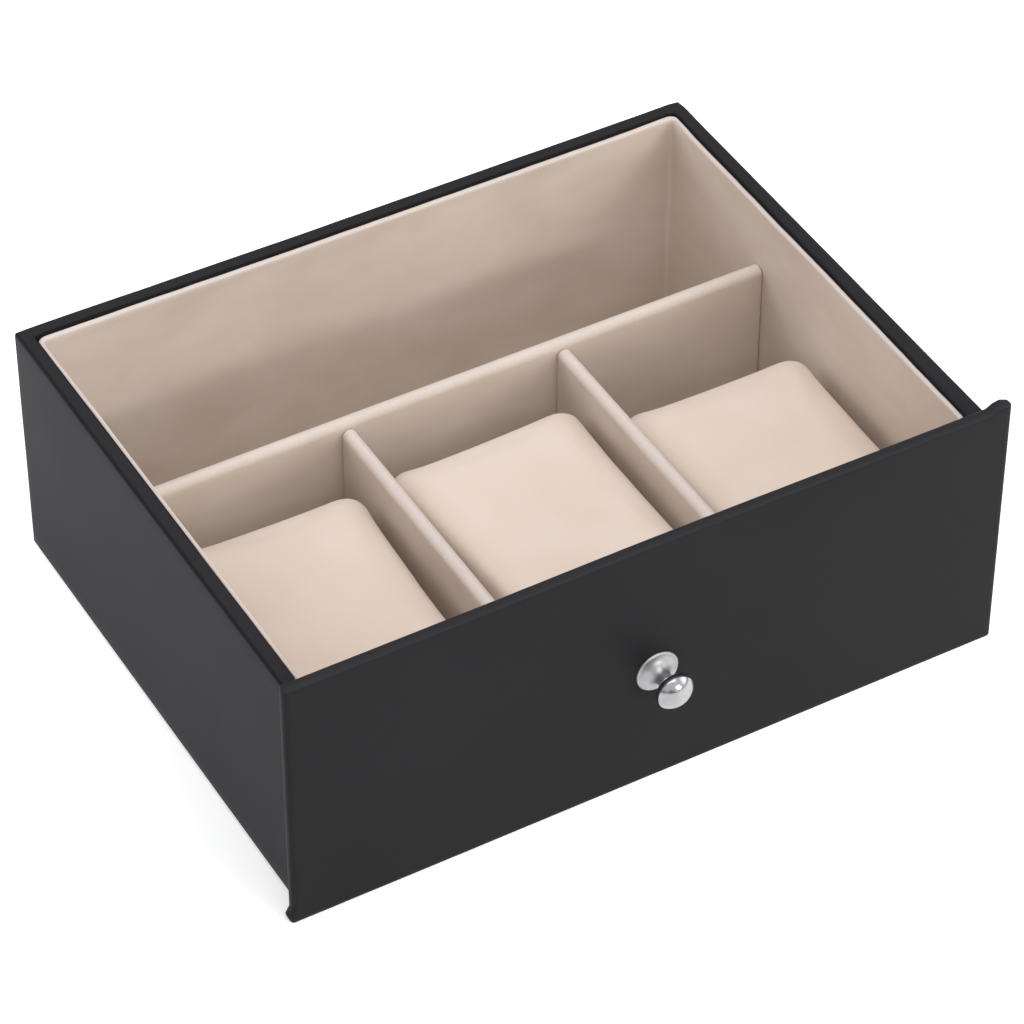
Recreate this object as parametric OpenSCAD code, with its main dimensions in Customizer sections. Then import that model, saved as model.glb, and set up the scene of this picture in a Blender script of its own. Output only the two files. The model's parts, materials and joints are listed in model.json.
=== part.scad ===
// Drawer of a cufflink and watch box.
// A mitred board tray is wrapped in leatherette and lined with velvet on card.
// A taller wrapped panel with a turned knob is fixed to its front.
// Velvet-covered dividers make one long rear bay and three front bays,
// and each front bay holds a loose cushion that lifts out.
// Frame: X across, +Y to the back, +Z up, in millimetres.
// The origin is the centre of the tray's underside.

/* [Tray] */
// Outside width of the wrapped tray
tray_w = 272; // [210:1:340]
// Outside depth of the wrapped tray, without the front panel
tray_d = 208; // [165:1:260]
// Height of the wrapped tray
tray_h = 99.5; // [80:0.5:130]
// Thickness of the wall boards
board_t = 5; // [4:0.5:7]
// Rounding of the wall boards' outer edges
board_r = 1.5; // [0.75:0.25:3]
// Thickness of the bottom board
bottom_t = 3; // [2:0.5:4]
// Depth of the rebate in the wall boards that takes the bottom board
rebate = 2.5; // [1.5:0.5:3.5]

/* [Leatherette] */
// Thickness of the leatherette
wrap_t = 0.5; // [0.3:0.1:0.8]
// How far the wrap runs down inside the rim
turn_in = 15; // [8:1:25]
// How far the wrap runs in under the bottom
turn_under = 12; // [9:1:20]
// Distance of the wrap's closing seam from the back left corner
seam_inset = 14; // [6:1:40]
// Thickness of the sheet that covers the underside
base_t = 0.5; // [0.3:0.1:1]
// Margin of that sheet inside the tray's outline
base_margin = 3; // [2:0.5:8]

/* [Front panel] */
// Thickness of the panel's board
panel_board_t = 2.3; // [2:0.1:5]
// How far the panel stands out past each side of the tray
panel_overhang = 4; // [2:0.5:8]
// How far the panel stands above the tray's rim
panel_rise = 7.5; // [2:0.5:14]
// How far the panel hangs below the tray's underside
panel_drop = 1.9; // [0:0.1:5]
// Rounding of the wrapped panel's edges
panel_r = 1.1; // [0.8:0.1:1.5]
// Width of the border that the panel's wrap makes on its back
panel_border = 14; // [11:1:24]
// How far the folded leatherette stands up at the top right corner
top_ear_out = 2.5; // [1:0.1:3]
// Length of that fold along the panel's top edge
top_ear_len = 7; // [5:0.5:12]
// How far the folded leatherette stands out at the bottom left corner
low_ear_out = 1.5; // [1:0.1:3]
// Length of that fold along the panel's left edge
low_ear_len = 5; // [4:0.5:12]

/* [Knob] */
// How far the knob sits below the middle of the tray's height
knob_drop = 0.9; // [0:0.1:10]
// Radius of the knob's foot
foot_r = 8.2; // [6.5:0.1:11]
// Radius of the knob's head
head_r = 6.95; // [5:0.05:9]
// Radius of the knob's neck
neck_r = 2.8; // [2.6:0.1:3.4]
// Distance from the panel to the widest part of the head
head_y = 13; // [11:0.5:18]
// Height of the head's dome
dome_h = 3.6; // [2:0.1:5]
// Radius of the knob's screw
screw_r = 2; // [1.5:0.1:2]

/* [Lining] */
// Thickness of the lining's card
card_t = 1; // [0.6:0.1:1.6]
// Thickness of the velvet
velvet_t = 0.6; // [0.4:0.1:1]
// How far the lining's top edge lies below the rim
lining_drop = 1; // [0.5:0.25:4]
// Outer radius of the lining's upright corners
lining_r = 3.6; // [2.4:0.2:8]

/* [Dividers] */
// Depth of the front bays
bay_d = 127; // [95:1:150]
// Height of the cross divider's top above the underside
cross_top = 73.3; // [50:0.5:85]
// Thickness of the cross divider's board
cross_board_t = 4.6; // [3:0.2:6]
// How far the short dividers' tops lie below the cross divider's
short_drop = 2.3; // [0:0.1:6]
// Thickness of the short dividers' boards
short_board_t = 4.1; // [3:0.1:6]

/* [Cushions] */
// Width of a cushion
cushion_w = 72; // [50:1:80]
// Length of a cushion from front to back
cushion_l = 92; // [60:1:100]
// Height of a cushion
cushion_h = 58.5; // [30:0.5:65]
// Rounding of a cushion's upper edges
cushion_r = 9; // [6:0.5:16]
// How the left cushion lies off the middle of its bay: across, back and turned in degrees
left_lie = [-1.5, -2, -0.4];
// How the middle cushion lies off the middle of its bay: across, back and turned in degrees
middle_lie = [-0.3, 0.6, 2];
// How the right cushion lies off the middle of its bay: across, back and turned in degrees
right_lie = [-2, -16, 0];

/* [Hidden] */
$fn = 96;

fit = 0.1;            // clearance between boards that are glued together
slip = 0.2;           // clearance of a covered piece set between linings
rest_gap = 0.3;       // clearance under a loose cushion
foot_share = 0.6;     // rounding of a cushion's lower edges, against its upper ones
cut = 1;              // overlap that carries a cut past the face it opens
seam_w = 0.3;         // width of a butted leatherette seam
// Outline of each folded corner: shares of its length, from the corner, and of its height.
top_fold = [[1, 0], [0.8, 0.24], [0.63, 0.48], [0.43, 0.7], [0.31, 0.76], [0.07, 1], [0, 0.92]];
low_fold = [[1, 0], [0.86, 0.63], [0.66, 0.97], [0.58, 1], [0.32, 0.7], [0.12, 0.2], [0, 0]];
bead_r = 0.7;         // rolled edge of the knob's foot
collar_r = 0.6;       // bead below the knob's head
head_back_t = 1.7;     // straight band behind the knob's widest part
head_edge_r = 0.5;    // rounded edge at the back of that band
flare_share = 0.55;   // how much of the head's underside is hollowed
trumpet_rise = 1.6;   // height of the foot's hollow above the panel, in bead radii
washer_t = 0.5;
screw_head_h = 2.2;
screw_head_rim = 1.8; // how far the screw's head stands out past its shank
washer_rim = 0.6;     // how far the washer stands out past that head
screw_length = 12.5;  // below the screw's head
counterbore_depth = 3;
tip_gap = 1;          // left beyond the screw's tip in the knob
thread_fit = 0.05;    // clearance round the screw in the knob
cross_slot = [4, 1, 1.2];

wrap_r = board_r + wrap_t;
wall_t = board_t + 2 * wrap_t;
lining_t = card_t + velvet_t;
board_z0 = base_t + wrap_t;
board_z1 = tray_h - wrap_t;
well = board_t + wrap_t;                       // inset of the boards' inner faces
floor_z = board_z0 + bottom_t;                 // top of the bottom board
floor_top = floor_z + lining_t;                // top of the floor velvet
lining_top = tray_h - lining_drop;
lining_w = tray_w - 2 * wall_t;
lining_d = tray_d - 2 * wall_t;
inner_w = lining_w - 2 * lining_t;
inner_d = lining_d - 2 * lining_t;

panel_t = panel_board_t + 2 * wrap_t;
panel_w = tray_w + 2 * panel_overhang;
panel_z0 = -panel_drop;
panel_z1 = tray_h + panel_rise;
panel_h = panel_z1 - panel_z0;
panel_back = -tray_d / 2;
panel_face = panel_back - panel_t;

knob_z = tray_h / 2 - knob_drop;
screw_seat = panel_back + wrap_t + board_t - counterbore_depth;
screw_reach = screw_length - (screw_seat + washer_t - panel_face);
screw_hole_r = screw_r + slip;
screw_head_r = screw_r + screw_head_rim;
washer_r = screw_head_r + washer_rim;
counterbore_r = washer_r + 2 * slip;

cross_t = cross_board_t + 2 * velvet_t;
short_t = short_board_t + 2 * velvet_t;
cross_front = -inner_d / 2 + bay_d;
cross_y = cross_front + cross_t / 2;
short_top = cross_top - short_drop;
short_len = bay_d - 2 * slip;
short_y = -inner_d / 2 + bay_d / 2;
bay_w = (inner_w - 2 * short_t) / 3;
bay_step = bay_w + short_t;

leather = "#3a3a3d";
leather_panel = "#343436";
mdf = "#b08a5e";
card_grey = "#9b968e";
velvet = "#cdbcae";
cushion_cream = "#e6d5c7";
bright = "#c9cacc";
zinc = "#a9acb0";

// ---- shared forms -------------------------------------------------------

module centred_rect(w, d) {
    translate([-w / 2, -d / 2])
        square([w, d]);
}

module rounded_rect(w, d, r) {
    centred_rect(w - 2 * r, d);
    centred_rect(w, d - 2 * r);
    for (sx = [-1, 1], sy = [-1, 1])
        translate([sx * (w / 2 - r), sy * (d / 2 - r)])
            circle(r);
}

// Upper right quarter of a disc.
module quarter_disc(r) {
    intersection() {
        circle(r);
        square([r, r]);
    }
}

// Sweeps a 2D profile round a rectangle w by d with corners of radius r.
// The profile's x runs outwards from the corners' centres, so r is the outer face.
module sweep_round(w, d, r) {
    for (quarter = [0:3]) {
        along = quarter % 2 == 0 ? d : w;
        across = quarter % 2 == 0 ? w : d;
        rotate([0, 0, 90 * quarter]) {
            translate([across / 2 - r, along / 2 - r, 0])
                rotate([90, 0, 0])
                    linear_extrude(along - 2 * r)
                        children();
            translate([across / 2 - r, along / 2 - r, 0])
                rotate_extrude(angle = 90)
                    children();
        }
    }
}

// A wall ring whose upright corners and upper outer edges are rounded by r.
// inset is measured from the tray's outline.
module rim_ring(inset, t, z0, z1, r) {
    w = tray_w - 2 * inset;
    d = tray_d - 2 * inset;
    translate([0, 0, z0])
        linear_extrude(z1 - r - z0)
            difference() {
                rounded_rect(w, d, r);
                centred_rect(w - 2 * t, d - 2 * t);
            }
    translate([0, 0, z1 - r]) {
        linear_extrude(r)
            difference() {
                centred_rect(w - 2 * r, d - 2 * r);
                centred_rect(w - 2 * t, d - 2 * t);
            }
        sweep_round(w, d, r)
            quarter_disc(r);
    }
}

// The part of a ring that belongs to one wall, between 45 degree mitres.
module mitred(side) {
    back_or_front = side == "back" || side == "front";
    turn = side == "right" ? 0 : side == "back" ? 90 : side == "left" ? 180 : 270;
    across = back_or_front ? tray_d : tray_w;
    along = back_or_front ? tray_w : tray_d;
    reach = wall_t + lining_t + lining_r;
    intersection() {
        children();
        rotate([0, 0, turn])
            translate([0, 0, -cut])
                linear_extrude(tray_h + 2 * cut)
                    polygon([
                        [across / 2 - reach, -along / 2 + reach],
                        [across / 2 + cut, -along / 2 - cut],
                        [across / 2 + cut, along / 2 + cut],
                        [across / 2 - reach, along / 2 - reach]
                    ]);
    }
}

module along_y(y, z) {
    translate([0, y, z])
        rotate([90, 0, 0])
            children();
}

// ---- tray ---------------------------------------------------------------

module wall_board(side) {
    color(mdf)
        difference() {
            mitred(side)
                rim_ring(wrap_t, board_t, board_z0, board_z1, board_r);
            translate([0, 0, board_z0 - cut])
                linear_extrude(bottom_t + cut)
                    centred_rect(tray_w - 2 * (well - rebate), tray_d - 2 * (well - rebate));
            if (side == "front")
                screw_way();
        }
}

// Clearance hole and counterbore for the knob's screw.
module screw_way() {
    along_y(panel_back + wall_t + cut, knob_z)
        cylinder(r = screw_hole_r, h = wall_t + 2 * cut);
    along_y(panel_back + wall_t + cut, knob_z)
        cylinder(r = counterbore_r, h = panel_back + wall_t + cut - screw_seat);
}

module bottom_board() {
    color(mdf)
        translate([0, 0, board_z0])
            linear_extrude(bottom_t)
                centred_rect(
                    tray_w - 2 * (well - rebate + fit),
                    tray_d - 2 * (well - rebate + fit)
                );
}

module tray_wrap() {
    color(leather)
        difference() {
            union() {
                rim_ring(0, wall_t, base_t, tray_h, wrap_r);
                translate([0, 0, base_t])
                    linear_extrude(wrap_t)
                        difference() {
                            centred_rect(tray_w - 2 * well, tray_d - 2 * well);
                            centred_rect(tray_w - 2 * turn_under, tray_d - 2 * turn_under);
                        }
            }
            rim_ring(wrap_t, board_t, board_z0, board_z1, board_r);
            translate([0, 0, board_z0])
                linear_extrude(tray_h - turn_in - board_z0)
                    centred_rect(tray_w - 2 * well, tray_d - 2 * well);
            along_y(panel_back + wrap_t + cut, knob_z)
                cylinder(r = screw_hole_r, h = wrap_t + 2 * cut);
            translate([-tray_w / 2 + seam_inset, tray_d / 2 - wrap_t / 2, base_t - cut])
                cube([seam_w, wrap_t, tray_h]);
        }
}

module base_sheet() {
    color(leather)
        linear_extrude(base_t)
            rounded_rect(tray_w - 2 * base_margin, tray_d - 2 * base_margin, wrap_r);
}

// ---- front panel --------------------------------------------------------

// A plate in the X-Z plane whose edges and corners are rounded by r.
module soft_plate(w, h, t, r) {
    linear_extrude(t, center = true)
        centred_rect(w - 2 * r, h - 2 * r);
    sweep_round(w, h, r) {
        translate([0, r - t / 2])
            square([r, t - 2 * r]);
        translate([0, t / 2 - r])
            quarter_disc(r);
        translate([0, r - t / 2])
            mirror([0, 1])
                quarter_disc(r);
    }
}

module on_panel() {
    translate([0, panel_face + panel_t / 2, (panel_z0 + panel_z1) / 2])
        rotate([90, 0, 0])
            children();
}

module front_panel_board() {
    color(mdf)
        difference() {
            on_panel()
                soft_plate(panel_w - 2 * wrap_t, panel_h - 2 * wrap_t, panel_board_t, panel_r - wrap_t);
            along_y(panel_back + cut, knob_z)
                cylinder(r = screw_hole_r, h = panel_t + 2 * cut);
        }
}

// A folded corner, drawn at the corner with the edge along -x.
module ear_outline(len, out, fold) {
    polygon(concat(
        [[-len, -panel_r]],
        [for (point = fold) [-point.x * len, point.y * out]],
        [[0, -panel_r], [-panel_r, -2 * panel_r]]
    ));
}

module ears() {
    ear_t = panel_t - panel_r;
    translate([panel_w / 2, panel_h / 2, 0])
        linear_extrude(ear_t, center = true)
            ear_outline(top_ear_len, top_ear_out, top_fold);
    translate([-panel_w / 2, -panel_h / 2, 0])
        mirror([1, 1, 0])
            linear_extrude(ear_t, center = true)
                ear_outline(low_ear_len, low_ear_out, low_fold);
}

// The wrap covers the panel's face and edges and makes a mitred border on its back.
module front_panel_wrap() {
    border_w = panel_w - 2 * panel_border;
    border_h = panel_h - 2 * panel_border;
    color(leather_panel)
        difference() {
            on_panel()
                difference() {
                    union() {
                        soft_plate(panel_w, panel_h, panel_t, panel_r);
                        ears();
                    }
                    soft_plate(panel_w - 2 * wrap_t, panel_h - 2 * wrap_t, panel_board_t, panel_r - wrap_t);
                    translate([0, 0, -panel_t / 2 - cut])
                        linear_extrude(wrap_t + cut + fit)
                            centred_rect(border_w, border_h);
                    for (sx = [-1, 1], sy = [-1, 1])
                        translate([sx * border_w / 2, sy * border_h / 2, -panel_t / 2 - cut])
                            rotate([0, 0, 45 * sx * sy])
                                translate([sx > 0 ? -cut : -panel_border, -seam_w / 2, 0])
                                    cube([panel_border + cut, seam_w, wrap_t / 2 + cut]);
                }
            along_y(panel_back + cut, knob_z)
                cylinder(r = screw_hole_r, h = panel_t + 2 * cut);
        }
}

// ---- knob ---------------------------------------------------------------

// Half section of the knob: x is the radius and y the distance from the panel.
module knob_section() {
    trumpet_r = foot_r - bead_r - neck_r;
    trumpet_top = bead_r * trumpet_rise + trumpet_r;
    flare_r = (head_r - neck_r) * flare_share;
    head_back = head_y - head_back_t;
    dome_r = (head_r * head_r + dome_h * dome_h) / (2 * dome_h);

    square([foot_r - bead_r, 2 * bead_r]);
    translate([foot_r - bead_r, bead_r])
        circle(bead_r);
    difference() {
        square([neck_r + trumpet_r, trumpet_top]);
        translate([neck_r + trumpet_r, trumpet_top])
            circle(trumpet_r);
    }
    square([neck_r, head_y]);
    translate([neck_r, head_back - flare_r - collar_r / 2])
        circle(collar_r);
    difference() {
        translate([0, head_back - flare_r])
            square([neck_r + flare_r, flare_r + head_edge_r]);
        translate([neck_r + flare_r, head_back - flare_r])
            circle(flare_r);
    }
    translate([0, head_back])
        square([head_r - head_edge_r, head_y - head_back]);
    translate([0, head_back + head_edge_r])
        square([head_r, head_y - head_back - head_edge_r]);
    translate([head_r - head_edge_r, head_back + head_edge_r])
        circle(head_edge_r);
    intersection() {
        translate([0, head_y])
            square([head_r, dome_h]);
        translate([0, head_y + dome_h - dome_r])
            circle(dome_r);
    }
}

module knob() {
    color(bright)
        along_y(panel_face, knob_z)
            difference() {
                rotate_extrude()
                    intersection() {
                        knob_section();
                        square([foot_r + cut, head_y + dome_h + cut]);
                    }
                translate([0, 0, -cut])
                    cylinder(r = screw_r + thread_fit, h = screw_reach + tip_gap + cut);
            }
}

module knob_screw() {
    head_seat = screw_seat + washer_t;
    color(zinc)
        along_y(head_seat, knob_z) {
            cylinder(r = screw_r, h = screw_length);
            difference() {
                translate([0, 0, -screw_head_h])
                    cylinder(r = screw_head_r, h = screw_head_h);
                for (turn = [0, 90])
                    rotate([0, 0, turn])
                        translate([-cross_slot[0] / 2, -cross_slot[1] / 2, -screw_head_h - cut])
                            cube([cross_slot[0], cross_slot[1], cross_slot[2] + cut]);
            }
        }
}

module knob_washer() {
    color(zinc)
        along_y(screw_seat + washer_t, knob_z)
            difference() {
                cylinder(r = washer_r, h = washer_t);
                translate([0, 0, -cut])
                    cylinder(r = screw_hole_r, h = washer_t + 2 * cut);
            }
}

// ---- lining -------------------------------------------------------------

module wall_card(side) {
    color(card_grey)
        mitred(side)
            translate([0, 0, floor_z])
                sweep_round(lining_w, lining_d, lining_r)
                    translate([lining_r - card_t, 0])
                        square([card_t, lining_top - lining_t / 2 - floor_z]);
}

// The velvet covers the card's inner face and rolls over its top edge.
module wall_velvet(side) {
    straight = lining_top - lining_t / 2 - floor_z;
    color(velvet)
        mitred(side)
            translate([0, 0, floor_z])
                sweep_round(lining_w, lining_d, lining_r) {
                    translate([lining_r - lining_t, 0])
                        square([velvet_t, straight]);
                    translate([lining_r - lining_t / 2, straight])
                        intersection() {
                            circle(lining_t / 2);
                            translate([-lining_t / 2, 0])
                                square([lining_t, lining_t / 2]);
                        }
                }
}

module floor_outline() {
    rounded_rect(inner_w - 2 * slip, inner_d - 2 * slip, lining_r - lining_t - slip);
}

module floor_lining_card() {
    color(card_grey)
        translate([0, 0, floor_z])
            linear_extrude(card_t)
                floor_outline();
}

module floor_lining_velvet() {
    color(velvet)
        translate([0, 0, floor_z + card_t])
            linear_extrude(velvet_t)
                floor_outline();
}

// ---- dividers -----------------------------------------------------------

// Upright section of a divider: straight faces and a full round top.
module divider_section(t, height) {
    translate([-t / 2, 0])
        square([t, height - t / 2]);
    translate([0, height - t / 2])
        intersection() {
            circle(t / 2);
            translate([-t / 2, 0])
                square([t, t / 2]);
        }
}

module divider_solid(len, t, height) {
    translate([0, 0, floor_top])
        rotate([90, 0, 0])
            linear_extrude(len, center = true)
                divider_section(t, height);
}

// len and top are those of the covered divider.
module divider_board(len, board, top) {
    color(mdf)
        divider_solid(len - 2 * velvet_t, board, top - floor_top - velvet_t);
}

// The velvet covers the board's faces, top and ends.
module divider_velvet(len, board, top) {
    color(velvet)
        difference() {
            divider_solid(len, board + 2 * velvet_t, top - floor_top);
            divider_solid(len - 2 * velvet_t, board, top - floor_top - velvet_t);
        }
}

module at_cross() {
    translate([0, cross_y, 0])
        rotate([0, 0, 90])
            children();
}

module at_short(side) {
    translate([side * (bay_w + short_t) / 2, short_y, 0])
        children();
}

// ---- cushions -----------------------------------------------------------

// A soft block whose upper edges are rounder than its lower ones.
// lie is how far it lies off the middle of its bay, across and back, and its turn.
module cushion(bay, lie) {
    foot_edge = cushion_r * foot_share;
    color(cushion_cream)
        translate([bay * bay_step + lie[0], short_y + lie[1], floor_top + rest_gap])
            rotate([0, 0, lie[2]])
                hull()
                    for (sx = [-1, 1], sy = [-1, 1]) {
                        translate([
                            sx * (cushion_w / 2 - cushion_r),
                            sy * (cushion_l / 2 - cushion_r),
                            cushion_h - cushion_r
                        ])
                            sphere(cushion_r, $fn = 32);
                        translate([
                            sx * (cushion_w / 2 - foot_edge),
                            sy * (cushion_l / 2 - foot_edge),
                            foot_edge
                        ])
                            sphere(foot_edge, $fn = 32);
                    }
}

// ---- assembly -----------------------------------------------------------

wall_board("left");  // left_side_board
wall_board("right");  // right_side_board
wall_board("back");  // back_board
wall_board("front");  // inner_front_board
bottom_board();
tray_wrap();
base_sheet();
front_panel_board();
front_panel_wrap();
knob();
knob_screw();
knob_washer();
wall_card("left");  // left_lining_card
wall_velvet("left");  // left_lining_velvet
wall_card("right");  // right_lining_card
wall_velvet("right");  // right_lining_velvet
wall_card("back");  // back_lining_card
wall_velvet("back");  // back_lining_velvet
wall_card("front");  // front_lining_card
wall_velvet("front");  // front_lining_velvet
floor_lining_card();
floor_lining_velvet();
at_cross() divider_board(inner_w - 2 * slip, cross_board_t, cross_top);  // cross_divider_board
at_cross() divider_velvet(inner_w - 2 * slip, cross_board_t, cross_top);  // cross_divider_velvet
at_short(-1) divider_board(short_len, short_board_t, short_top);  // left_divider_board
at_short(-1) divider_velvet(short_len, short_board_t, short_top);  // left_divider_velvet
at_short(1) divider_board(short_len, short_board_t, short_top);  // right_divider_board
at_short(1) divider_velvet(short_len, short_board_t, short_top);  // right_divider_velvet
cushion(-1, left_lie);  // cushion_left
cushion(0, middle_lie);  // cushion_middle
cushion(1, right_lie);  // cushion_right
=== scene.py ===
"""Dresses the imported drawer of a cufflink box.

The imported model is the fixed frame. This script covers it with soft leatherette, velvet and
padded cloth, turns the knob, gives every board, card and screw its finish, and sets a plain studio.
Meshes are worked out in millimetres and stored in metres, in the frame's own axes.
"""

import json  # noqa: E402
import logging  # noqa: E402
import math  # noqa: E402
from collections.abc import Iterable, Sequence  # noqa: E402
from dataclasses import dataclass, field  # noqa: E402
from enum import Enum  # noqa: E402
from typing import Any  # noqa: E402

import bmesh  # noqa: E402
import bpy  # noqa: E402
import numpy as np  # noqa: E402
from mathutils import Matrix, Vector, noise  # noqa: E402

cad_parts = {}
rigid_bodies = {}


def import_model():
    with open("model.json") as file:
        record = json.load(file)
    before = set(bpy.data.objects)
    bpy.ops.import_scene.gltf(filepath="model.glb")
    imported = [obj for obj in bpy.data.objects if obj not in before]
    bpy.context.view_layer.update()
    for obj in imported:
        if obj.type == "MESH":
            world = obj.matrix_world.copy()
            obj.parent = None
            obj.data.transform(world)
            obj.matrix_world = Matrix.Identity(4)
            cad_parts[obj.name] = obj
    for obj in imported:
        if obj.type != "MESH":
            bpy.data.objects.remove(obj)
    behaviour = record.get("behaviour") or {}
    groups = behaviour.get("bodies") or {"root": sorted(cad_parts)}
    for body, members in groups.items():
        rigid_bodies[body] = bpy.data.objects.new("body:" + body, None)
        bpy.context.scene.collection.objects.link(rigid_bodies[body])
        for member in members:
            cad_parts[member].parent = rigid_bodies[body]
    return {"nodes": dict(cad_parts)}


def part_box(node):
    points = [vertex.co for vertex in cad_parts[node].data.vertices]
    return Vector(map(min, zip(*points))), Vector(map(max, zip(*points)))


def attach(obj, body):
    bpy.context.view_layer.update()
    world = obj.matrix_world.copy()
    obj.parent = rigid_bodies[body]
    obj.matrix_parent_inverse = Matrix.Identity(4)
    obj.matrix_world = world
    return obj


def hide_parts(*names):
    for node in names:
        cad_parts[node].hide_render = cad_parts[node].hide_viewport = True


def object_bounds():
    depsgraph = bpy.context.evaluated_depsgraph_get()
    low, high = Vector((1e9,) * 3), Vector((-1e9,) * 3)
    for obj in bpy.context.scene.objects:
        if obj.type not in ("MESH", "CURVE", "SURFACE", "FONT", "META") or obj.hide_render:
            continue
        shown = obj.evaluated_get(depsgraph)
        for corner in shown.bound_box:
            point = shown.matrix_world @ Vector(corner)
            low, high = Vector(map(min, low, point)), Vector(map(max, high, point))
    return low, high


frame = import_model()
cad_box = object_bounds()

MM = 0.001
WELD_MM = 0.002  # points nearer than this are one
SEED_SHIFT = (7.31, 3.17, 5.73)  # how far one step of the seed moves a pattern of noise
TRAY_BODY = "tray"
Tree, Node, Socket = bpy.types.NodeTree, bpy.types.Node, bpy.types.NodeSocket
Material, Piece = bpy.types.Material, bpy.types.Object
Spot = tuple[float, float]
Skin = tuple[np.ndarray, list[tuple[int, ...]]]  # points and faces
log = logging.getLogger("drawer")


# ---- colours and nodes ---------------------------------------------------


def linear(code: str) -> tuple[float, float, float, float]:
    """Turns an sRGB colour into the linear colour that sockets take.

    Args:
        code: The colour as "#rrggbb".

    Returns:
        Red, green, blue and alpha, all from 0 to 1.
    """
    parts = [int(code[i : i + 2], 16) / 255 for i in (1, 3, 5)]
    curve = [c / 12.92 if c <= 0.04045 else ((c + 0.055) / 1.055) ** 2.4 for c in parts]
    return curve[0], curve[1], curve[2], 1.0


def add_node(tree: Tree, kind: str, inputs: dict[Any, Any] | None = None, **settings: Any) -> Node:
    """Adds a node with its settings and its links.

    Args:
        tree: The node tree it goes in.
        kind: Blender's name of the node type.
        inputs: Values or output sockets, by the input's name or number.
        settings: The node's own properties.

    Returns:
        The new node.
    """
    node = tree.nodes.new(kind)
    for name, value in settings.items():
        setattr(node, name, value)
    for key, value in (inputs or {}).items():
        if isinstance(value, Socket):
            tree.links.new(value, node.inputs[key])
        else:
            node.inputs[key].default_value = value
    return node


def set_ramp(node: Node, stops: Sequence[tuple[float, str]]) -> None:
    """Gives a colour ramp its stops.

    Args:
        node: The colour ramp node.
        stops: Each stop's position and its sRGB colour.
    """
    ramp = node.color_ramp
    while len(ramp.elements) > 1:
        ramp.elements.remove(ramp.elements[-1])
    for number, (position, code) in enumerate(stops):
        element = ramp.elements[0] if number == 0 else ramp.elements.new(position)
        element.position = position
        element.color = linear(code)


def per_metre(size_mm: float) -> float:
    """Returns the texture scale that makes a pattern's cell this many millimetres wide."""
    return 1.0 / (size_mm * MM)


# ---- finishes ------------------------------------------------------------


@dataclass(frozen=True)
class Finish:
    """A material named for what it is and for how its surface was made."""

    name: str

    def build(self) -> Material:
        """Builds the node material.

        Returns:
            The material, under its finish's name.
        """
        material = bpy.data.materials.new(self.name)
        material.use_nodes = True
        tree = material.node_tree
        tree.nodes.clear()
        place = add_node(tree, "ShaderNodeTexCoord").outputs["Object"]
        shader = add_node(tree, "ShaderNodeBsdfPrincipled", self.surface(tree, place))
        add_node(tree, "ShaderNodeOutputMaterial", {"Surface": shader.outputs["BSDF"]})
        return material

    def surface(self, tree: Tree, place: Socket) -> dict[str, Any]:
        """Adds the nodes of this kind of surface.

        Args:
            tree: The material's nodes.
            place: The object coordinates.

        Returns:
            What goes in the shader's inputs, by name.
        """
        raise NotImplementedError


@dataclass(frozen=True)
class Leatherette(Finish):
    """Embossed polyurethane on a knitted backing: near black, a fine pebble grain, a dry satin skin."""

    colour: str
    faded: str
    roll_painted_shading: str  # painted shading on the rolled edge, for how light falls there
    top_painted_highlight: str  # painted highlight where it faces up
    roughness: float = 0.5
    smoother: float = 0.05  # how far the roughness wanders down and up
    rougher: float = 0.07
    pebble_mm: float = 1.1  # the real pebble is about 0.6 mm; drawn coarser so that it shows
    pebble_depth_mm: float = 0.02
    grain_pebbles: float = 3.0  # how many pebbles wide the coarser grain is
    cloud_mm: float = 70.0
    specular: float = 0.5

    def surface(self, tree: Tree, place: Socket) -> dict[str, Any]:
        """Lays faint clouds and the pebble, and painted light by which way the skin faces: painted shading on
        the rolled edge and a painted highlight on top.

        Args:
            tree: The material's nodes.
            place: The object coordinates.

        Returns:
            What goes in the shader's inputs, by name.
        """
        clouds = add_node(
            tree, "ShaderNodeTexNoise", {"Vector": place, "Scale": per_metre(self.cloud_mm), "Detail": 4.0}
        )
        tone = add_node(tree, "ShaderNodeValToRGB", {"Fac": clouds.outputs["Fac"]})
        set_ramp(tone, [(0.3, self.colour), (0.75, self.faded)])
        pebble = add_node(
            tree, "ShaderNodeTexVoronoi",
            {"Vector": place, "Scale": per_metre(self.pebble_mm), "Randomness": 1.0}, feature="SMOOTH_F1",
        )
        grain = add_node(
            tree, "ShaderNodeTexNoise",
            {"Vector": place, "Scale": per_metre(self.pebble_mm * self.grain_pebbles), "Detail": 5.0},
        )
        relief = add_node(
            tree, "ShaderNodeMath", {0: pebble.outputs["Distance"], 1: grain.outputs["Fac"]}, operation="ADD"
        )
        bump = add_node(
            tree, "ShaderNodeBump",
            {"Height": relief.outputs[0], "Strength": 0.6, "Distance": self.pebble_depth_mm * MM},
        )
        wear = add_node(
            tree, "ShaderNodeMapRange",
            {"Value": clouds.outputs["Fac"], "To Min": self.roughness - self.smoother,
             "To Max": self.roughness + self.rougher},
        )
        # painted light: the colour follows which way the surface faces
        facing = add_node(tree, "ShaderNodeNewGeometry").outputs["Normal"]
        up = add_node(tree, "ShaderNodeSeparateXYZ", {0: facing}).outputs["Z"]
        turned = add_node(tree, "ShaderNodeMapRange", {"Value": up, "From Min": 0.12, "From Max": 0.45})
        edges = add_node(tree, "ShaderNodeValToRGB", {"Fac": up})
        set_ramp(edges, [(0.45, self.roll_painted_shading), (0.78, self.roll_painted_shading), (0.98, self.top_painted_highlight)])
        skin = add_node(
            tree, "ShaderNodeMix",
            {"Factor": turned.outputs["Result"], 6: tone.outputs["Color"], 7: edges.outputs["Color"]},
            data_type="RGBA",
        )
        return {
            "Base Color": skin.outputs[2],
            "Roughness": wear.outputs["Result"],
            "Normal": bump.outputs["Normal"],
            "Specular IOR Level": self.specular,
        }


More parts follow.
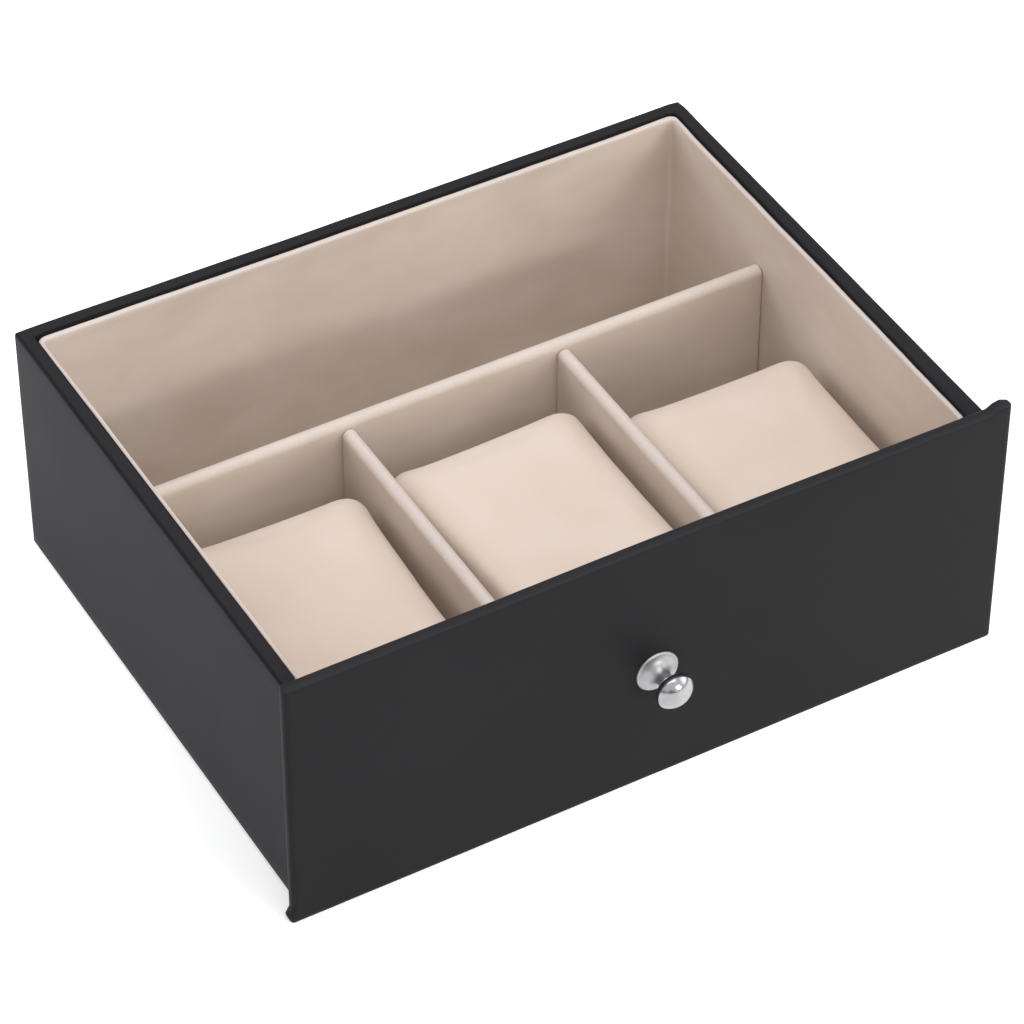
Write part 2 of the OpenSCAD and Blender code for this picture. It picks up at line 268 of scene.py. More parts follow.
@dataclass(frozen=True)
class Velvet(Finish):
    """Short polyester pile, brushed by hand: soft tone patches where the nap lies another way, and a painted
    sheen that pales the turned edges.
    """

    deep: str
    middle: str
    light: str
    sheen_tint: str = "#fff0ea"
    sheen: float = 0.35
    edge_z_mm: float | None = None  # height of the turned edge; the colour is paled towards it as painted sheen
    painted_sheen_tone: str = "#e6dcd8"
    edge_reach_mm: float = 2.6
    ragged_mm: float = 0.8  # how far the painted sheen wanders up and down
    nap_mm: float = 34.0
    fibre_mm: float = 0.9  # single fibres are far finer; tufts of them are drawn so that the pile shows
    fibre_depth_mm: float = 0.12

    def surface(self, tree: Tree, place: Socket) -> dict[str, Any]:
        """Lays the brushed nap and the tufts, with the sheen of standing pile and a painted sheen along the
        turned edge.

        Args:
            tree: The material's nodes.
            place: The object coordinates.

        Returns:
            What goes in the shader's inputs, by name.
        """
        brushed = add_node(
            tree, "ShaderNodeMapping",
            {"Vector": place, "Scale": (1.0, 1.0, 1.9), "Rotation": (0.2, 0.35, 0.3)},
        )
        nap = add_node(
            tree, "ShaderNodeTexNoise",
            {"Vector": brushed.outputs[0], "Scale": per_metre(self.nap_mm), "Detail": 2.0, "Roughness": 0.5,
             "Distortion": 0.25},
        )
        fibre = add_node(
            tree, "ShaderNodeTexNoise",
            {"Vector": place, "Scale": per_metre(self.fibre_mm), "Detail": 3.0, "Roughness": 0.7},
        )
        blend = add_node(
            tree, "ShaderNodeMix", {"Factor": 0.16, "A": nap.outputs["Fac"], "B": fibre.outputs["Fac"]},
            data_type="FLOAT",
        )
        tone = add_node(tree, "ShaderNodeValToRGB", {"Fac": blend.outputs["Result"]})
        set_ramp(tone, [(0.3, self.deep), (0.5, self.middle), (0.72, self.light)])
        bump = add_node(
            tree, "ShaderNodeBump",
            {"Height": fibre.outputs["Fac"], "Strength": 0.5, "Distance": self.fibre_depth_mm * MM},
        )
        rough = add_node(
            tree, "ShaderNodeMapRange", {"Value": nap.outputs["Fac"], "To Min": 0.82, "To Max": 0.96}
        )
        return {
            "Base Color": self.painted_edge_sheen(tree, place, fibre, tone),
            "Roughness": rough.outputs["Result"],
            "Normal": bump.outputs["Normal"],
            "Specular IOR Level": 0.15,
            "Sheen Weight": self.sheen,
            "Sheen Roughness": 0.45,
            "Sheen Tint": linear(self.sheen_tint),
        }

    def painted_edge_sheen(self, tree: Tree, place: Socket, fibre: Node, tone: Node) -> Socket:
        """Paints a sheen on the colour towards the turned edge, raggedly: a painted highlight that pales it
        towards the top.

        Args:
            tree: The material's nodes.
            place: The object coordinates.
            fibre: The tufts' noise node.
            tone: The nap's colour node.

        Returns:
            The colour output.
        """
        if self.edge_z_mm is None:
            return tone.outputs["Color"]
        height = add_node(tree, "ShaderNodeSeparateXYZ", {0: place}).outputs["Z"]
        ragged = add_node(
            tree, "ShaderNodeMapRange",
            {"Value": fibre.outputs["Fac"], "To Min": -self.ragged_mm * MM, "To Max": self.ragged_mm * MM},
        )
        top = add_node(tree, "ShaderNodeMath", {0: height, 1: ragged.outputs["Result"]}, operation="ADD")
        share = add_node(
            tree, "ShaderNodeMapRange",
            {"Value": top.outputs[0], "From Min": (self.edge_z_mm - self.edge_reach_mm) * MM,
             "From Max": self.edge_z_mm * MM},
            interpolation_type="SMOOTHSTEP",
        )
        # painted sheen mixed into the colour near the top edge
        pale = add_node(
            tree, "ShaderNodeMix",
            {"Factor": share.outputs["Result"], 6: tone.outputs["Color"], 7: linear(self.painted_sheen_tone)},
            data_type="RGBA",
        )
        return pale.outputs[2]


@dataclass(frozen=True)
class Plate(Finish):
    """Metal with a thin coat: bright, with faint finger marks, or brushed by its machining."""

    colour: str
    dull: str
    roughness: float
    marks_mm: float = 5.0
    brushed: float = 1.0
    recess_y_mm: float | None = None  # behind this the buffing wheel doesn't reach, so the plate stays duller
    recess_reach_mm: float = 5.0
    recess_dulling: float = 0.24

    def surface(self, tree: Tree, place: Socket) -> dict[str, Any]:
        """Lays faint marks over bare metal.

        Args:
            tree: The material's nodes.
            place: The object coordinates.

        Returns:
            What goes in the shader's inputs, by name.
        """
        turned = add_node(tree, "ShaderNodeMapping", {"Vector": place, "Scale": (1.0, self.brushed, 1.0)})
        marks = add_node(
            tree, "ShaderNodeTexNoise",
            {"Vector": turned.outputs[0], "Scale": per_metre(self.marks_mm), "Detail": 4.0},
        )
        tone = add_node(tree, "ShaderNodeValToRGB", {"Fac": marks.outputs["Fac"]})
        set_ramp(tone, [(0.35, self.dull), (0.65, self.colour)])
        rough = add_node(
            tree, "ShaderNodeMapRange",
            {"Value": marks.outputs["Fac"], "From Min": 0.3, "From Max": 0.8,
             "To Min": self.roughness, "To Max": self.roughness * 1.8},
        )
        bump = add_node(
            tree, "ShaderNodeBump", {"Height": marks.outputs["Fac"], "Strength": 0.05, "Distance": 0.02 * MM}
        )
        return {
            "Base Color": tone.outputs["Color"],
            "Roughness": self.recessed(tree, place, rough.outputs["Result"]),
            "Normal": bump.outputs["Normal"],
            "Metallic": 1.0,
        }

    def recessed(self, tree: Tree, place: Socket, shine: Socket) -> Socket:
        """Dulls the plate where the buffing wheel doesn't reach.

        Args:
            tree: The material's nodes.
            place: The object coordinates.
            shine: The roughness of the buffed plate.

        Returns:
            The roughness output.
        """
        if self.recess_y_mm is None:
            return shine
        along = add_node(tree, "ShaderNodeSeparateXYZ", {0: place}).outputs["Y"]
        recess = add_node(
            tree, "ShaderNodeMapRange",
            {"Value": along, "From Min": self.recess_y_mm * MM,
             "From Max": (self.recess_y_mm + self.recess_reach_mm) * MM,
             "To Min": 0.0, "To Max": self.recess_dulling},
        )
        dulled = add_node(tree, "ShaderNodeMath", {0: shine, 1: recess.outputs["Result"]}, operation="ADD")
        return dulled.outputs[0]


@dataclass(frozen=True)
class PressedBoard(Finish):
    """Fibres pressed in a sheet, such as MDF or grey board: matt and flecked."""

    dark: str
    colour: str
    fleck: str
    fleck_mm: float
    roughness: float = 0.85

    def surface(self, tree: Tree, place: Socket) -> dict[str, Any]:
        """Lays the flecks of the fibres.

        Args:
            tree: The material's nodes.
            place: The object coordinates.

        Returns:
            What goes in the shader's inputs, by name.
        """
        flecks = add_node(
            tree, "ShaderNodeTexNoise",
            {"Vector": place, "Scale": per_metre(self.fleck_mm), "Detail": 6.0, "Roughness": 0.75},
        )
        tone = add_node(tree, "ShaderNodeValToRGB", {"Fac": flecks.outputs["Fac"]})
        set_ramp(tone, [(0.3, self.dark), (0.5, self.colour), (0.72, self.fleck)])
        bump = add_node(
            tree, "ShaderNodeBump", {"Height": flecks.outputs["Fac"], "Strength": 0.3, "Distance": 0.05 * MM}
        )
        return {
            "Base Color": tone.outputs["Color"],
            "Roughness": self.roughness,
            "Normal": bump.outputs["Normal"],
        }


@dataclass(frozen=True)
class LitFloor(Finish):
    """White matt table, lit from under so that the ground stays pale, and more so behind and on the right."""

    glow: float = 0.3
    far_glow: float = 0.32
    cloud_mm: float = 500.0

    def surface(self, tree: Tree, place: Socket) -> dict[str, Any]:
        """Lays faint clouds and the glow.

        Args:
            tree: The material's nodes.
            place: The object coordinates.

        Returns:
            What goes in the shader's inputs, by name.
        """
        clouds = add_node(
            tree, "ShaderNodeTexNoise", {"Vector": place, "Scale": per_metre(self.cloud_mm), "Detail": 2.0}
        )
        tone = add_node(tree, "ShaderNodeValToRGB", {"Fac": clouds.outputs["Fac"]})
        set_ramp(tone, [(0.3, "#f6f6f6"), (0.7, "#f9f9f9")])
        x, y, _ = add_node(tree, "ShaderNodeSeparateXYZ", {0: place}).outputs
        across = add_node(tree, "ShaderNodeMath", {0: x, 1: y}, operation="ADD")
        glow = add_node(
            tree, "ShaderNodeMapRange",
            {"Value": across.outputs[0], "From Min": -0.25, "From Max": 0.08,
             "To Min": self.glow, "To Max": self.glow + self.far_glow},
        )
        return {
            "Base Color": tone.outputs["Color"],
            "Roughness": 0.9,
            "Emission Color": linear("#ffffff"),
            "Emission Strength": glow.outputs["Result"],
        }


@dataclass
class Finishes:
    """Every material of the drawer, built once."""

    # the tray's skin: painted shade on its rolled edges and a painted highlight on top
    wrap: Material = field(
        default_factory=Leatherette(
            "leatherette_tray", "#1c1c1f", "#222225", "#131315", "#2e2d30", specular=0.07
        ).build
    )
    # the panel's skin: a painted highlight on its rolled edges and on top
    panel: Material = field(
        default_factory=Leatherette(
            "leatherette_panel", "#18181a", "#1e1e20", "#292a2d", "#2e2e31", specular=0.1
        ).build
    )
    # the lining's and dividers' edge tones are painted sheen along their turned top edges
    lining: Material = field(
        default_factory=Velvet(
            "velvet_lining", "#c8b9ac", "#cec0b3", "#d4c7bc",
            edge_z_mm=99.6, painted_sheen_tone="#ddd2cd", edge_reach_mm=4.0,
        ).build
    )
    divider: Material = field(
        default_factory=Velvet(
            "velvet_divider", "#c8b9ac", "#cec0b3", "#d4c7bc",
            edge_z_mm=75.3, painted_sheen_tone="#e8ded8", edge_reach_mm=4.5,
        ).build
    )
    # the same velvet as the walls in darker tones, as painted shade on the short dividers; its edge tone is
    # painted sheen
    short_divider_painted_shade: Material = field(
        default_factory=Velvet(
            "velvet_short_divider", "#bdaea1", "#c4b6a9", "#ccbeb2",
            edge_z_mm=72.0, painted_sheen_tone="#e3d7d1", edge_reach_mm=4.0,
        ).build
    )
    cushion: Material = field(
        default_factory=Velvet(
            "velvet_cushion", "#e4d2c3", "#e8d7c9", "#ecddd0", "#fff2ec", nap_mm=45.0, fibre_depth_mm=0.06
        ).build
    )
    chrome: Material = field(
        default_factory=Plate("chrome_plate", "#b8b8b9", "#a9a9ab", 0.17, recess_y_mm=-117.0).build
    )
    zinc: Material = field(
        default_factory=Plate("zinc_plate", "#b9bcc0", "#9b9ea3", 0.35, marks_mm=1.5, brushed=0.2).build
    )
    fibreboard: Material = field(
        default_factory=PressedBoard("fibreboard_raw", "#8f6f4c", "#a98660", "#bf9d75", 1.2).build
    )
    card: Material = field(
        default_factory=PressedBoard("grey_board", "#8b867e", "#9f9a92", "#b0aba3", 0.8).build
    )


# ---- meshes --------------------------------------------------------------


def outline(
    half_x: float, half_y: float, radius: float, steps: tuple[int, int, int], power: float = 2.0
) -> np.ndarray:
    """Walks round a rectangle with rounded corners, anticlockwise.

    Args:
        half_x: Half its size along x.
        half_y: Half its size along y.
        radius: The size of its corners.
        steps: How many pieces each side along x, each side along y and each corner is cut in.
        power: 2 makes a corner an arc; more draws it towards a sharp one.

    Returns:
        The points, one row each.
    """
    along_x, along_y, in_corner = steps
    corners = [(1, -1), (1, 1), (-1, 1), (-1, -1)]
    arcs = []
    for number, (sx, sy) in enumerate(corners):
        angle = np.linspace(0, math.pi / 2, in_corner + 1) + (number - 1) * math.pi / 2
        bend = np.stack([np.cos(angle), np.sin(angle)], 1)
        bend = np.sign(bend) * np.abs(np.round(bend, 9)) ** (2 / power)
        arcs.append(np.array([sx * (half_x - radius), sy * (half_y - radius)]) + radius * bend)
    points = []
    for number, arc in enumerate(arcs):
        following = arcs[(number + 1) % 4][0]
        count = along_y if number % 2 == 0 else along_x
        share = np.linspace(0, 1, count + 1)[1:-1, None]
        points += [arc, arc[-1] * (1 - share) + following * share]
    return np.concatenate(points)


def loft(rings: Sequence[np.ndarray], closed: bool = False) -> Skin:
    """Joins rings of as many points each into a skin.

    Args:
        rings: The rings, each an array of 3D points.
        closed: Whether the last ring joins the first.

    Returns:
        The points and the faces.
    """
    count, size = len(rings), len(rings[0])
    faces = []
    for row in range(count if closed else count - 1):
        low, high = row * size, (row + 1) % count * size
        faces += [(low + i, low + (i + 1) % size, high + (i + 1) % size, high + i) for i in range(size)]
    return np.concatenate(rings), faces


def level(ring: np.ndarray, z: float) -> np.ndarray:
    """Gives a flat ring its third coordinate."""
    return np.column_stack([ring, np.full(len(ring), z)])


def arc(centre: tuple[float, float], radius: float, start: float, end: float, steps: int) -> list[Spot]:
    """Walks along an arc.

    Args:
        centre: The arc's centre.
        radius: Its radius.
        start: The first angle, in degrees.
        end: The last angle, in degrees.
        steps: How many pieces it is cut in.

    Returns:
        The points.
    """
    angles = [math.radians(start + (end - start) * i / steps) for i in range(steps + 1)]
    return [(centre[0] + radius * math.cos(a), centre[1] + radius * math.sin(a)) for a in angles]


def climb(start: float, end: float, step: float) -> np.ndarray:
    """Returns evenly spaced values from start to end, about step apart."""
    return np.linspace(start, end, max(2, round(abs(end - start) / step) + 1))


def drift(points: np.ndarray, size_mm: float, seed: float) -> np.ndarray:
    """Gives smooth noise for points in millimetres.

    Args:
        points: The points, one row each.
        size_mm: How wide its swells are.
        seed: A number that moves the pattern.

    Returns:
        One value from about -1 to 1 for each point.
    """
    shift = Vector([seed * part for part in SEED_SHIFT])
    return np.array([noise.noise(Vector(p) / size_mm + shift) for p in points])


def fade(distance: np.ndarray, reach: float) -> np.ndarray:
    """Returns 1 at distance 0, falling smoothly to 0 at reach."""
    left = np.clip(1 - np.abs(distance) / reach, 0, 1)
    return left * left * (3 - 2 * left)


def make_piece(name: str, points: np.ndarray, faces: Iterable[Sequence[int]], material: Material) -> Piece:
    """Makes a smooth object from points in millimetres, in the frame's own place.

    Args:
        name: The object's name.
        points: The points, one row each.
        faces: The faces, as indices of points.
        material: Its material.

    Returns:
        The object, with doubles merged.
    """
    mesh = bpy.data.meshes.new(name)
    mesh.from_pydata((points * MM).tolist(), [], list(faces))
    edit = bmesh.new()
    edit.from_mesh(mesh)
    bmesh.ops.remove_doubles(edit, verts=edit.verts, dist=WELD_MM * MM)
    bmesh.ops.dissolve_degenerate(edit, dist=WELD_MM * MM / 2, edges=edit.edges)
    edit.to_mesh(mesh)
    edit.free()
    mesh.shade_smooth()
    mesh.materials.append(material)
    piece = bpy.data.objects.new(name, mesh)
    bpy.context.scene.collection.objects.link(piece)
    return piece


def thicken(piece: Piece, thickness_mm: float) -> None:
    """Gives an outward-facing skin its thickness, on its inner side.

    Args:
        piece: The skin.
        thickness_mm: How thick it gets.
    """
    solid = piece.modifiers.new("thickness", "SOLIDIFY")
    solid.thickness = thickness_mm * MM
    solid.offset = -1.0


def bake(piece: Piece) -> None:
    """Applies a piece's modifiers to its mesh.

    Args:
        piece: The piece, which is left with a plain mesh and no modifiers.
    """
    graph = bpy.context.evaluated_depsgraph_get()
    mesh = bpy.data.meshes.new_from_object(piece.evaluated_get(graph))
    piece.modifiers.clear()
    piece.data = mesh


def flip_out(piece: Piece) -> None:
    """Turns a closed mesh's faces outwards.

    Args:
        piece: The piece whose mesh is closed.
    """
    edit = bmesh.new()
    edit.from_mesh(piece.data)
    bmesh.ops.recalc_face_normals(edit, faces=edit.faces)
    edit.to_mesh(piece.data)
    edit.free()


def settle(piece: Piece, body: str, nodes: Sequence[str]) -> None:
    """Puts a finished piece on its body, hides the CAD nodes that it replaces and logs it.

    Args:
        piece: The finished piece.
        body: The body that it rides on.
        nodes: The CAD nodes that it replaces.
    """
    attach(piece, body)
    if nodes:
        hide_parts(*nodes)
    log.info("%s: %d faces on %s", piece.name, len(piece.data.polygons), body)


def box_mm(node: str) -> tuple[np.ndarray, np.ndarray]:
    """Returns a CAD node's lowest and highest corner in millimetres."""
    low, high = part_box(node)
    return np.array(low) / MM, np.array(high) / MM


# ---- geometry nodes ---------------------------------------------------------


class Former:
    """A Geometry Nodes tree that is built here, applied to one piece and left as a plain mesh."""

    def __init__(self, name: str, sizes: dict[str, str]) -> None:
        """Starts the tree with its inputs: the geometry, the named sizes and a material.

        Args:
            name: The tree's name.
            sizes: Each further input's name and its kind of socket.
        """
        self.tree = bpy.data.node_groups.new(name, "GeometryNodeTree")
        sockets = self.tree.interface
        sockets.new_socket("Geometry", in_out="INPUT", socket_type="NodeSocketGeometry")
        self.ids = {
            size: sockets.new_socket(size, in_out="INPUT", socket_type=f"NodeSocket{kind}").identifier
            for size, kind in {**sizes, "Material": "Material"}.items()
        }
        sockets.new_socket("Geometry", in_out="OUTPUT", socket_type="NodeSocketGeometry")
        self.given = add_node(self.tree, "NodeGroupInput").outputs

    def apply(self, piece: Piece, shape: Socket, values: dict[str, Any]) -> None:
        """Ends the tree in real geometry with its material, and bakes it into the piece.

        Args:
            piece: The piece that the tree works on.
            shape: The shaped geometry's output.
            values: What goes in each named input.
        """
        real = add_node(self.tree, "GeometryNodeRealizeInstances", {"Geometry": shape})
        dressed = add_node(
            self.tree, "GeometryNodeSetMaterial",
            {"Geometry": real.outputs[0], "Material": self.given["Material"]},
        )
        add_node(self.tree, "NodeGroupOutput", {0: dressed.outputs[0]})
        modifier = piece.modifiers.new(self.tree.name, "NODES")
        modifier.node_group = self.tree
        for name, value in values.items():
            modifier[self.ids[name]] = value
        bake(piece)


# ---- the tray's leatherette ------------------------------------------------


@dataclass(frozen=True)
class HandWork:
    """How the hand-made tray strays from true. Its cover and its lining stray together; sizes are in mm."""

    back_corner: tuple[float, float] = (136.0, 104.0)  # the tray's, off its middle
    left_rise: float = 0.8  # the rim stands high in the back left corner
    left_reach: float = 125.0
    right_rise: float = 0.2
    right_reach: float = 20.0
    sag: float = 0.06  # and sags a little on the right
    sag_x: float = 90.0
    sag_reach: float = 90.0
    lean: tuple[Spot, ...] = (  # how far the right wall's lining leans in, by y
        (-100.0, 1.4), (-78.0, 1.25), (-45.0, 0.85), (-12.0, 0.4), (21.0, 0.3), (55.0, 0.0)
    )

    def rim_rise(self, points: np.ndarray) -> np.ndarray:
        """Works out how far the rim stands high.

        Args:
            points: The points, one row each.

        Returns:
            The rise at each point.
        """
        x, y = self.back_corner
        left = self.left_rise * fade(np.hypot(points[:, 0] + x, points[:, 1] - y), self.left_reach)
        right = self.right_rise * fade(np.hypot(points[:, 0] - x, points[:, 1] - y), self.right_reach)
        return left + right - self.sag * fade(points[:, 0] - self.sag_x, self.sag_reach)

    def right_lean(self, points: np.ndarray) -> np.ndarray:
        """Returns how far the right wall's lining leans in at each point."""
        return np.interp(points[:, 1], *zip(*self.lean))


HAND_WORK = HandWork()


@dataclass
class TrayWrap:
    """The leatherette that covers the tray's walls, rolls over the rim and turns in."""

    rim_r: float = 1.8
    inner_r: float = 1.2
    inner_w: float = 2.2  # the inner rounding is broader than it is high
    foot_r: float = 0.8
    turn_in: float = 15.0
    turn_under: float = 12.0
    turned_step: float = 3.0  # how far apart the points lie where the cover is turned under and in
    side_step: float = 5.0  # and up the side
    land_step: float = 0.5  # and across the rim
    thickness: float = 0.5
    wall: float = 6.0
    corner_r: float = 0.9
    swell: float = 0.13
    swell_mm: float = 38.0
    stand_off: float = 0.05  # the cover never lies quite flat on its boards
    slack: float = 0.8
    rim_swell: float = 0.16
    ripple_mm: float = 11.0
    wave_mm: float = 42.0
    lowest: float = -0.03  # the rim waves up, and hardly down
    face_reach: float = 3.0  # swells fade out within this of a wall's face
    rim_reach: float = 4.0
    inside_band: float = 2.5  # what lies this near the inner face of a wall moves with it
    inside_reach: float = 20.0
    left_lean: float = 0.1  # how far the inner face of the left wall leans out
    left_lean_back: float = 0.28  # and how much more towards the back
    left_lean_reach: float = 100.0
    crease_depth: float = 0.16
    crease_width: float = 0.9
    crease_from: float = 0.8
    corner_pull: float = 0.75  # the back right corner is drawn tighter than the others
    pull_reach: float = 3.4
    pull_down: float = 14.0
    steps: tuple[int, int, int] = (68, 52, 7)

    def profile(self, bottom: float, top: float) -> list[Spot]:
        """Lists the section's points, from under the tray, up its side and over the rim to inside it.

        Args:
            bottom: The height of the tray's underside.
            top: The height of its rim.

        Returns:
            The inset and height of each point.
        """
        under = [(inset, bottom) for inset in climb(self.turn_under, self.turned_step, self.turned_step)]
        foot = arc((self.foot_r, bottom + self.foot_r), self.foot_r, 270, 180, 4)
        side = [(0.0, z) for z in climb(bottom + self.foot_r, top - self.rim_r, self.side_step)[1:-1]]
        outer = arc((self.rim_r, top - self.rim_r), self.rim_r, 180, 90, 7)
        land = [(inset, top) for inset in climb(self.rim_r, self.wall - self.inner_w, self.land_step)[1:-1]]
        turn = [(math.sin(angle), math.cos(angle)) for angle in np.linspace(0, math.pi / 2, 10)]
        inner = [(self.wall - self.inner_w * (1 - out), top - self.inner_r * (1 - up)) for out, up in turn]
        inside = [(self.wall, z) for z in climb(top - self.inner_r, top - self.turn_in, self.turned_step)[1:]]
        return under + foot + side + outer + land + inner + inside

    def skin(self, low: np.ndarray, high: np.ndarray) -> Skin:
        """Lofts the section round the tray, mitred in each corner.

        Args:
            low: The tray's lowest corner.
            high: Its highest corner.

        Returns:
            The points and the faces.
        """
        half = (high - low)[:2] / 2
        centre = (high + low)[:2] / 2
        rings = []
        for inset, z in self.profile(low[2], high[2]):
            radius = max(self.corner_r - inset, 0.0)
            rings.append(level(outline(half[0] - inset, half[1] - inset, radius, self.steps) + centre, z))
        return loft(rings)

    def soften(self, points: np.ndarray, low: np.ndarray, high: np.ndarray) -> np.ndarray:
        """Adds the slight swells, rim waves, corner creases and one tight corner of a glued cover.

        Args:
            points: The cover's points.
            low: The tray's lowest corner.
            high: Its highest corner.

        Returns:
            The moved points.
        """
        centre, half = (low + high)[:2] / 2, (high - low)[:2] / 2
        flat = points[:, :2] - centre
        edge = half - np.abs(flat)
        below_rim = high[2] - points[:, 2]
        outward = np.sign(flat) * fade(np.clip(edge, 0, None), self.rim_reach)
        height = (points[:, 2] - low[2]) / (high[2] - low[2])
        belly = np.clip(np.sin(np.pi * np.clip(height, 0, 1)), 0, 1)
        near_wall = fade(np.min(edge, 1), self.face_reach)
        push = self.swell * drift(points, self.swell_mm, seed=1.0) * belly * near_wall
        moved = points.copy()
        moved[:, :2] += outward * (push + self.stand_off)[:, None] * self.slack
        on_rim = fade(below_rim, self.rim_reach)
        waves = drift(points, self.ripple_mm, seed=2.0) * 0.5 + drift(points, self.wave_mm, seed=3.0)
        rise = self.rim_swell * waves + HAND_WORK.rim_rise(points)
        moved[:, 2] += on_rim * np.maximum(rise, self.lowest)
        near_inside = fade(below_rim, self.inside_reach)
        on_left = (np.abs(half[0] + flat[:, 0] - self.wall) < self.inside_band) * near_inside
        to_back = fade(half[1] - flat[:, 1], self.left_lean_reach)
        moved[:, 0] -= on_left * (self.left_lean + self.left_lean_back * to_back)
        within = edge[:, 0] < self.wall + self.thickness
        inward = np.clip((edge[:, 0] - self.wall) / self.inner_w + 1, 0, 1) * within
        moved[:, 0] -= inward * (flat[:, 0] > 0) * near_inside * HAND_WORK.right_lean(points)
        mitre = np.abs(edge[:, 0] - edge[:, 1]) / math.sqrt(2)
        crease = fade(mitre, self.crease_width) * on_rim * (np.max(edge, 1) > self.crease_from)
        moved[:, 2] -= self.crease_depth * crease
        back_right = np.hypot(half[0] - flat[:, 0], half[1] - flat[:, 1])
        tight = fade(back_right, self.pull_reach) * fade(below_rim, self.pull_down)
        moved[:, :2] -= (self.corner_pull * tight / math.sqrt(2))[:, None]
        return moved

    def build(self, finishes: Finishes) -> None:
        """Makes the cover and settles it on the tray.

        Args:
            finishes: The drawer's materials.
        """
        low, high = box_mm("tray_wrap")
        points, faces = self.skin(low, high)
        piece = make_piece("tray_leatherette", self.soften(points, low, high), faces, finishes.wrap)
        thicken(piece, self.thickness)
        bake(piece)
        settle(piece, TRAY_BODY, ["tray_wrap"])


# ---- the front panel's leatherette -----------------------------------------


@dataclass
class PanelWrap:
    """The leatherette of the front panel: soft edges, a border on the back and two folded corners."""

    edge_r: float = 1.25
    corner_r: float = 0.6
    thickness: float = 0.5
    face_insets: tuple[float, ...] = (50.0, 43.0, 36.0, 29.0, 23.0, 17.0, 12.0, 8.0, 5.2, 3.4, 2.2)
    border_insets: tuple[float, ...] = (2.5, 5.0, 8.0, 11.0, 14.0)
    top_line: tuple[Spot, ...] = (  # how high the top edge runs from left to right
        (-140.0, -0.3), (-110.0, -0.25), (-60.0, -0.05), (-25.0, 0.38), (-5.0, 0.55),
        (25.0, 0.35), (60.0, 0.0), (105.0, -0.45), (140.0, -0.6),
    )
    swell: float = 0.16
    swell_mm: float = 55.0
    face_reach: float = 12.0
    edge_swell: float = 0.1
    ripple_mm: float = 9.0
    wave_mm: float = 60.0
    edge_reach: float = 3.5
    roll_steps: int = 10
    steps: tuple[int, int, int] = (112, 44, 4)
    top_ear: tuple[Spot, ...] = (  # the folded corner above, by the way in from the right end
        (0.0, 0.75), (1.0, 1.15), (2.6, 1.8), (4.0, 2.35), (4.9, 2.2),
        (6.6, 1.0), (8.2, 0.1), (9.5, -0.2), (14.0, 0.0),
    )
    low_ear: tuple[Spot, ...] = (  # the small fold on the left, by the height above the foot
        (0.0, 0.25), (0.8, 0.75), (2.3, 1.5), (3.3, 1.55), (4.2, 1.0), (5.4, 0.0)
    )

    def sides(self) -> tuple[np.ndarray, np.ndarray]:
        """Returns the wrapped board's lowest and highest corners, without the folded corners."""
        low, high = box_mm("front_panel_board")
        return low - self.thickness, high + self.thickness

    def section(self, half_z: float, depth: float) -> list[tuple[float, float, float]]:
        """Lists the rings from the middle of the face, round the edge, to the end of the border.

        Args:
            half_z: Half the panel's height.
            depth: Half its thickness.

        Returns:
            The inset, corner radius and depth of each ring.
        """
        rings = [(inset, 0.0, -depth) for inset in (half_z, *self.face_insets)]
        for step in range(self.roll_steps + 1):
            turn = math.pi * step / self.roll_steps
            out = self.edge_r * math.sin(turn)
            at_middle = 2 * step == self.roll_steps
            flat = 0.0 if at_middle else math.copysign(depth - self.edge_r, math.cos(turn))
            along = -math.cos(turn) * self.edge_r - flat
            rings.append((self.edge_r - out, self.corner_r * math.sin(turn), along))
        return rings + [(inset, 0.0, depth) for inset in self.border_insets]

    def skin(self, low: np.ndarray, high: np.ndarray) -> Skin:
        """Lofts the face, the rolled edge and the border on the back, seen from the front as x and z.

        Args:
            low: The panel's lowest corner.
            high: Its highest corner.

        Returns:
            The points and the faces.
        """
        half, centre = (high - low) / 2, (high + low) / 2
        rings = []
        for inset, radius, along in self.section(half[2], half[1]):
            ring = level(outline(half[0] - inset, half[2] - inset, radius, self.steps), along)
            rings.append(ring[:, [0, 2, 1]] + centre)
        return loft(rings)

    def soften(self, points: np.ndarray, low: np.ndarray, high: np.ndarray) -> np.ndarray:
        """Adds swells, a bowed top edge, uneven edges and the folded corners.

        Args:
            points: The cover's points.
            low: The panel's lowest corner.
            high: Its highest corner.

        Returns:
            The moved points.
        """
        moved = points.copy()
        x, z = points[:, 0], points[:, 2]
        edge = np.minimum.reduce([x - low[0], high[0] - x, z - low[2], high[2] - z])
        front = points[:, 1] < (low[1] + high[1]) / 2
        pillow = 0.5 + 0.5 * drift(points, self.swell_mm, seed=4.0)
        moved[:, 1] -= front * self.swell * pillow * np.clip(edge / self.face_reach, 0, 1)
        gaps = (high[2] - z, x - low[0], z - low[2])
        near_top, near_left, near_low = (fade(gap, self.edge_reach) for gap in gaps)
        wave = drift(points, self.ripple_mm, seed=5.0) * 0.5 + drift(points, self.wave_mm, seed=6.0)
        wave *= self.edge_swell
        moved[:, 2] += near_top * (wave + np.interp(x, *zip(*self.top_line))) - near_low * wave
        moved[:, 0] -= near_left * wave
        moved[:, 2] += near_top * np.interp(high[0] - x, *zip(*self.top_ear))
        moved[:, 0] -= near_left * np.interp(z - low[2], *zip(*self.low_ear))
        return moved

    def build(self, finishes: Finishes) -> None:
        """Makes the cover and settles it on the tray.

        Args:
            finishes: The drawer's materials.
        """
        low, high = self.sides()
        points, faces = self.skin(low, high)
        piece = make_piece("panel_leatherette", self.soften(points, low, high), faces, finishes.panel)
        thicken(piece, self.thickness)
        bake(piece)
        settle(piece, TRAY_BODY, ["front_panel_wrap"])


# ---- the knob --------------------------------------------------------------


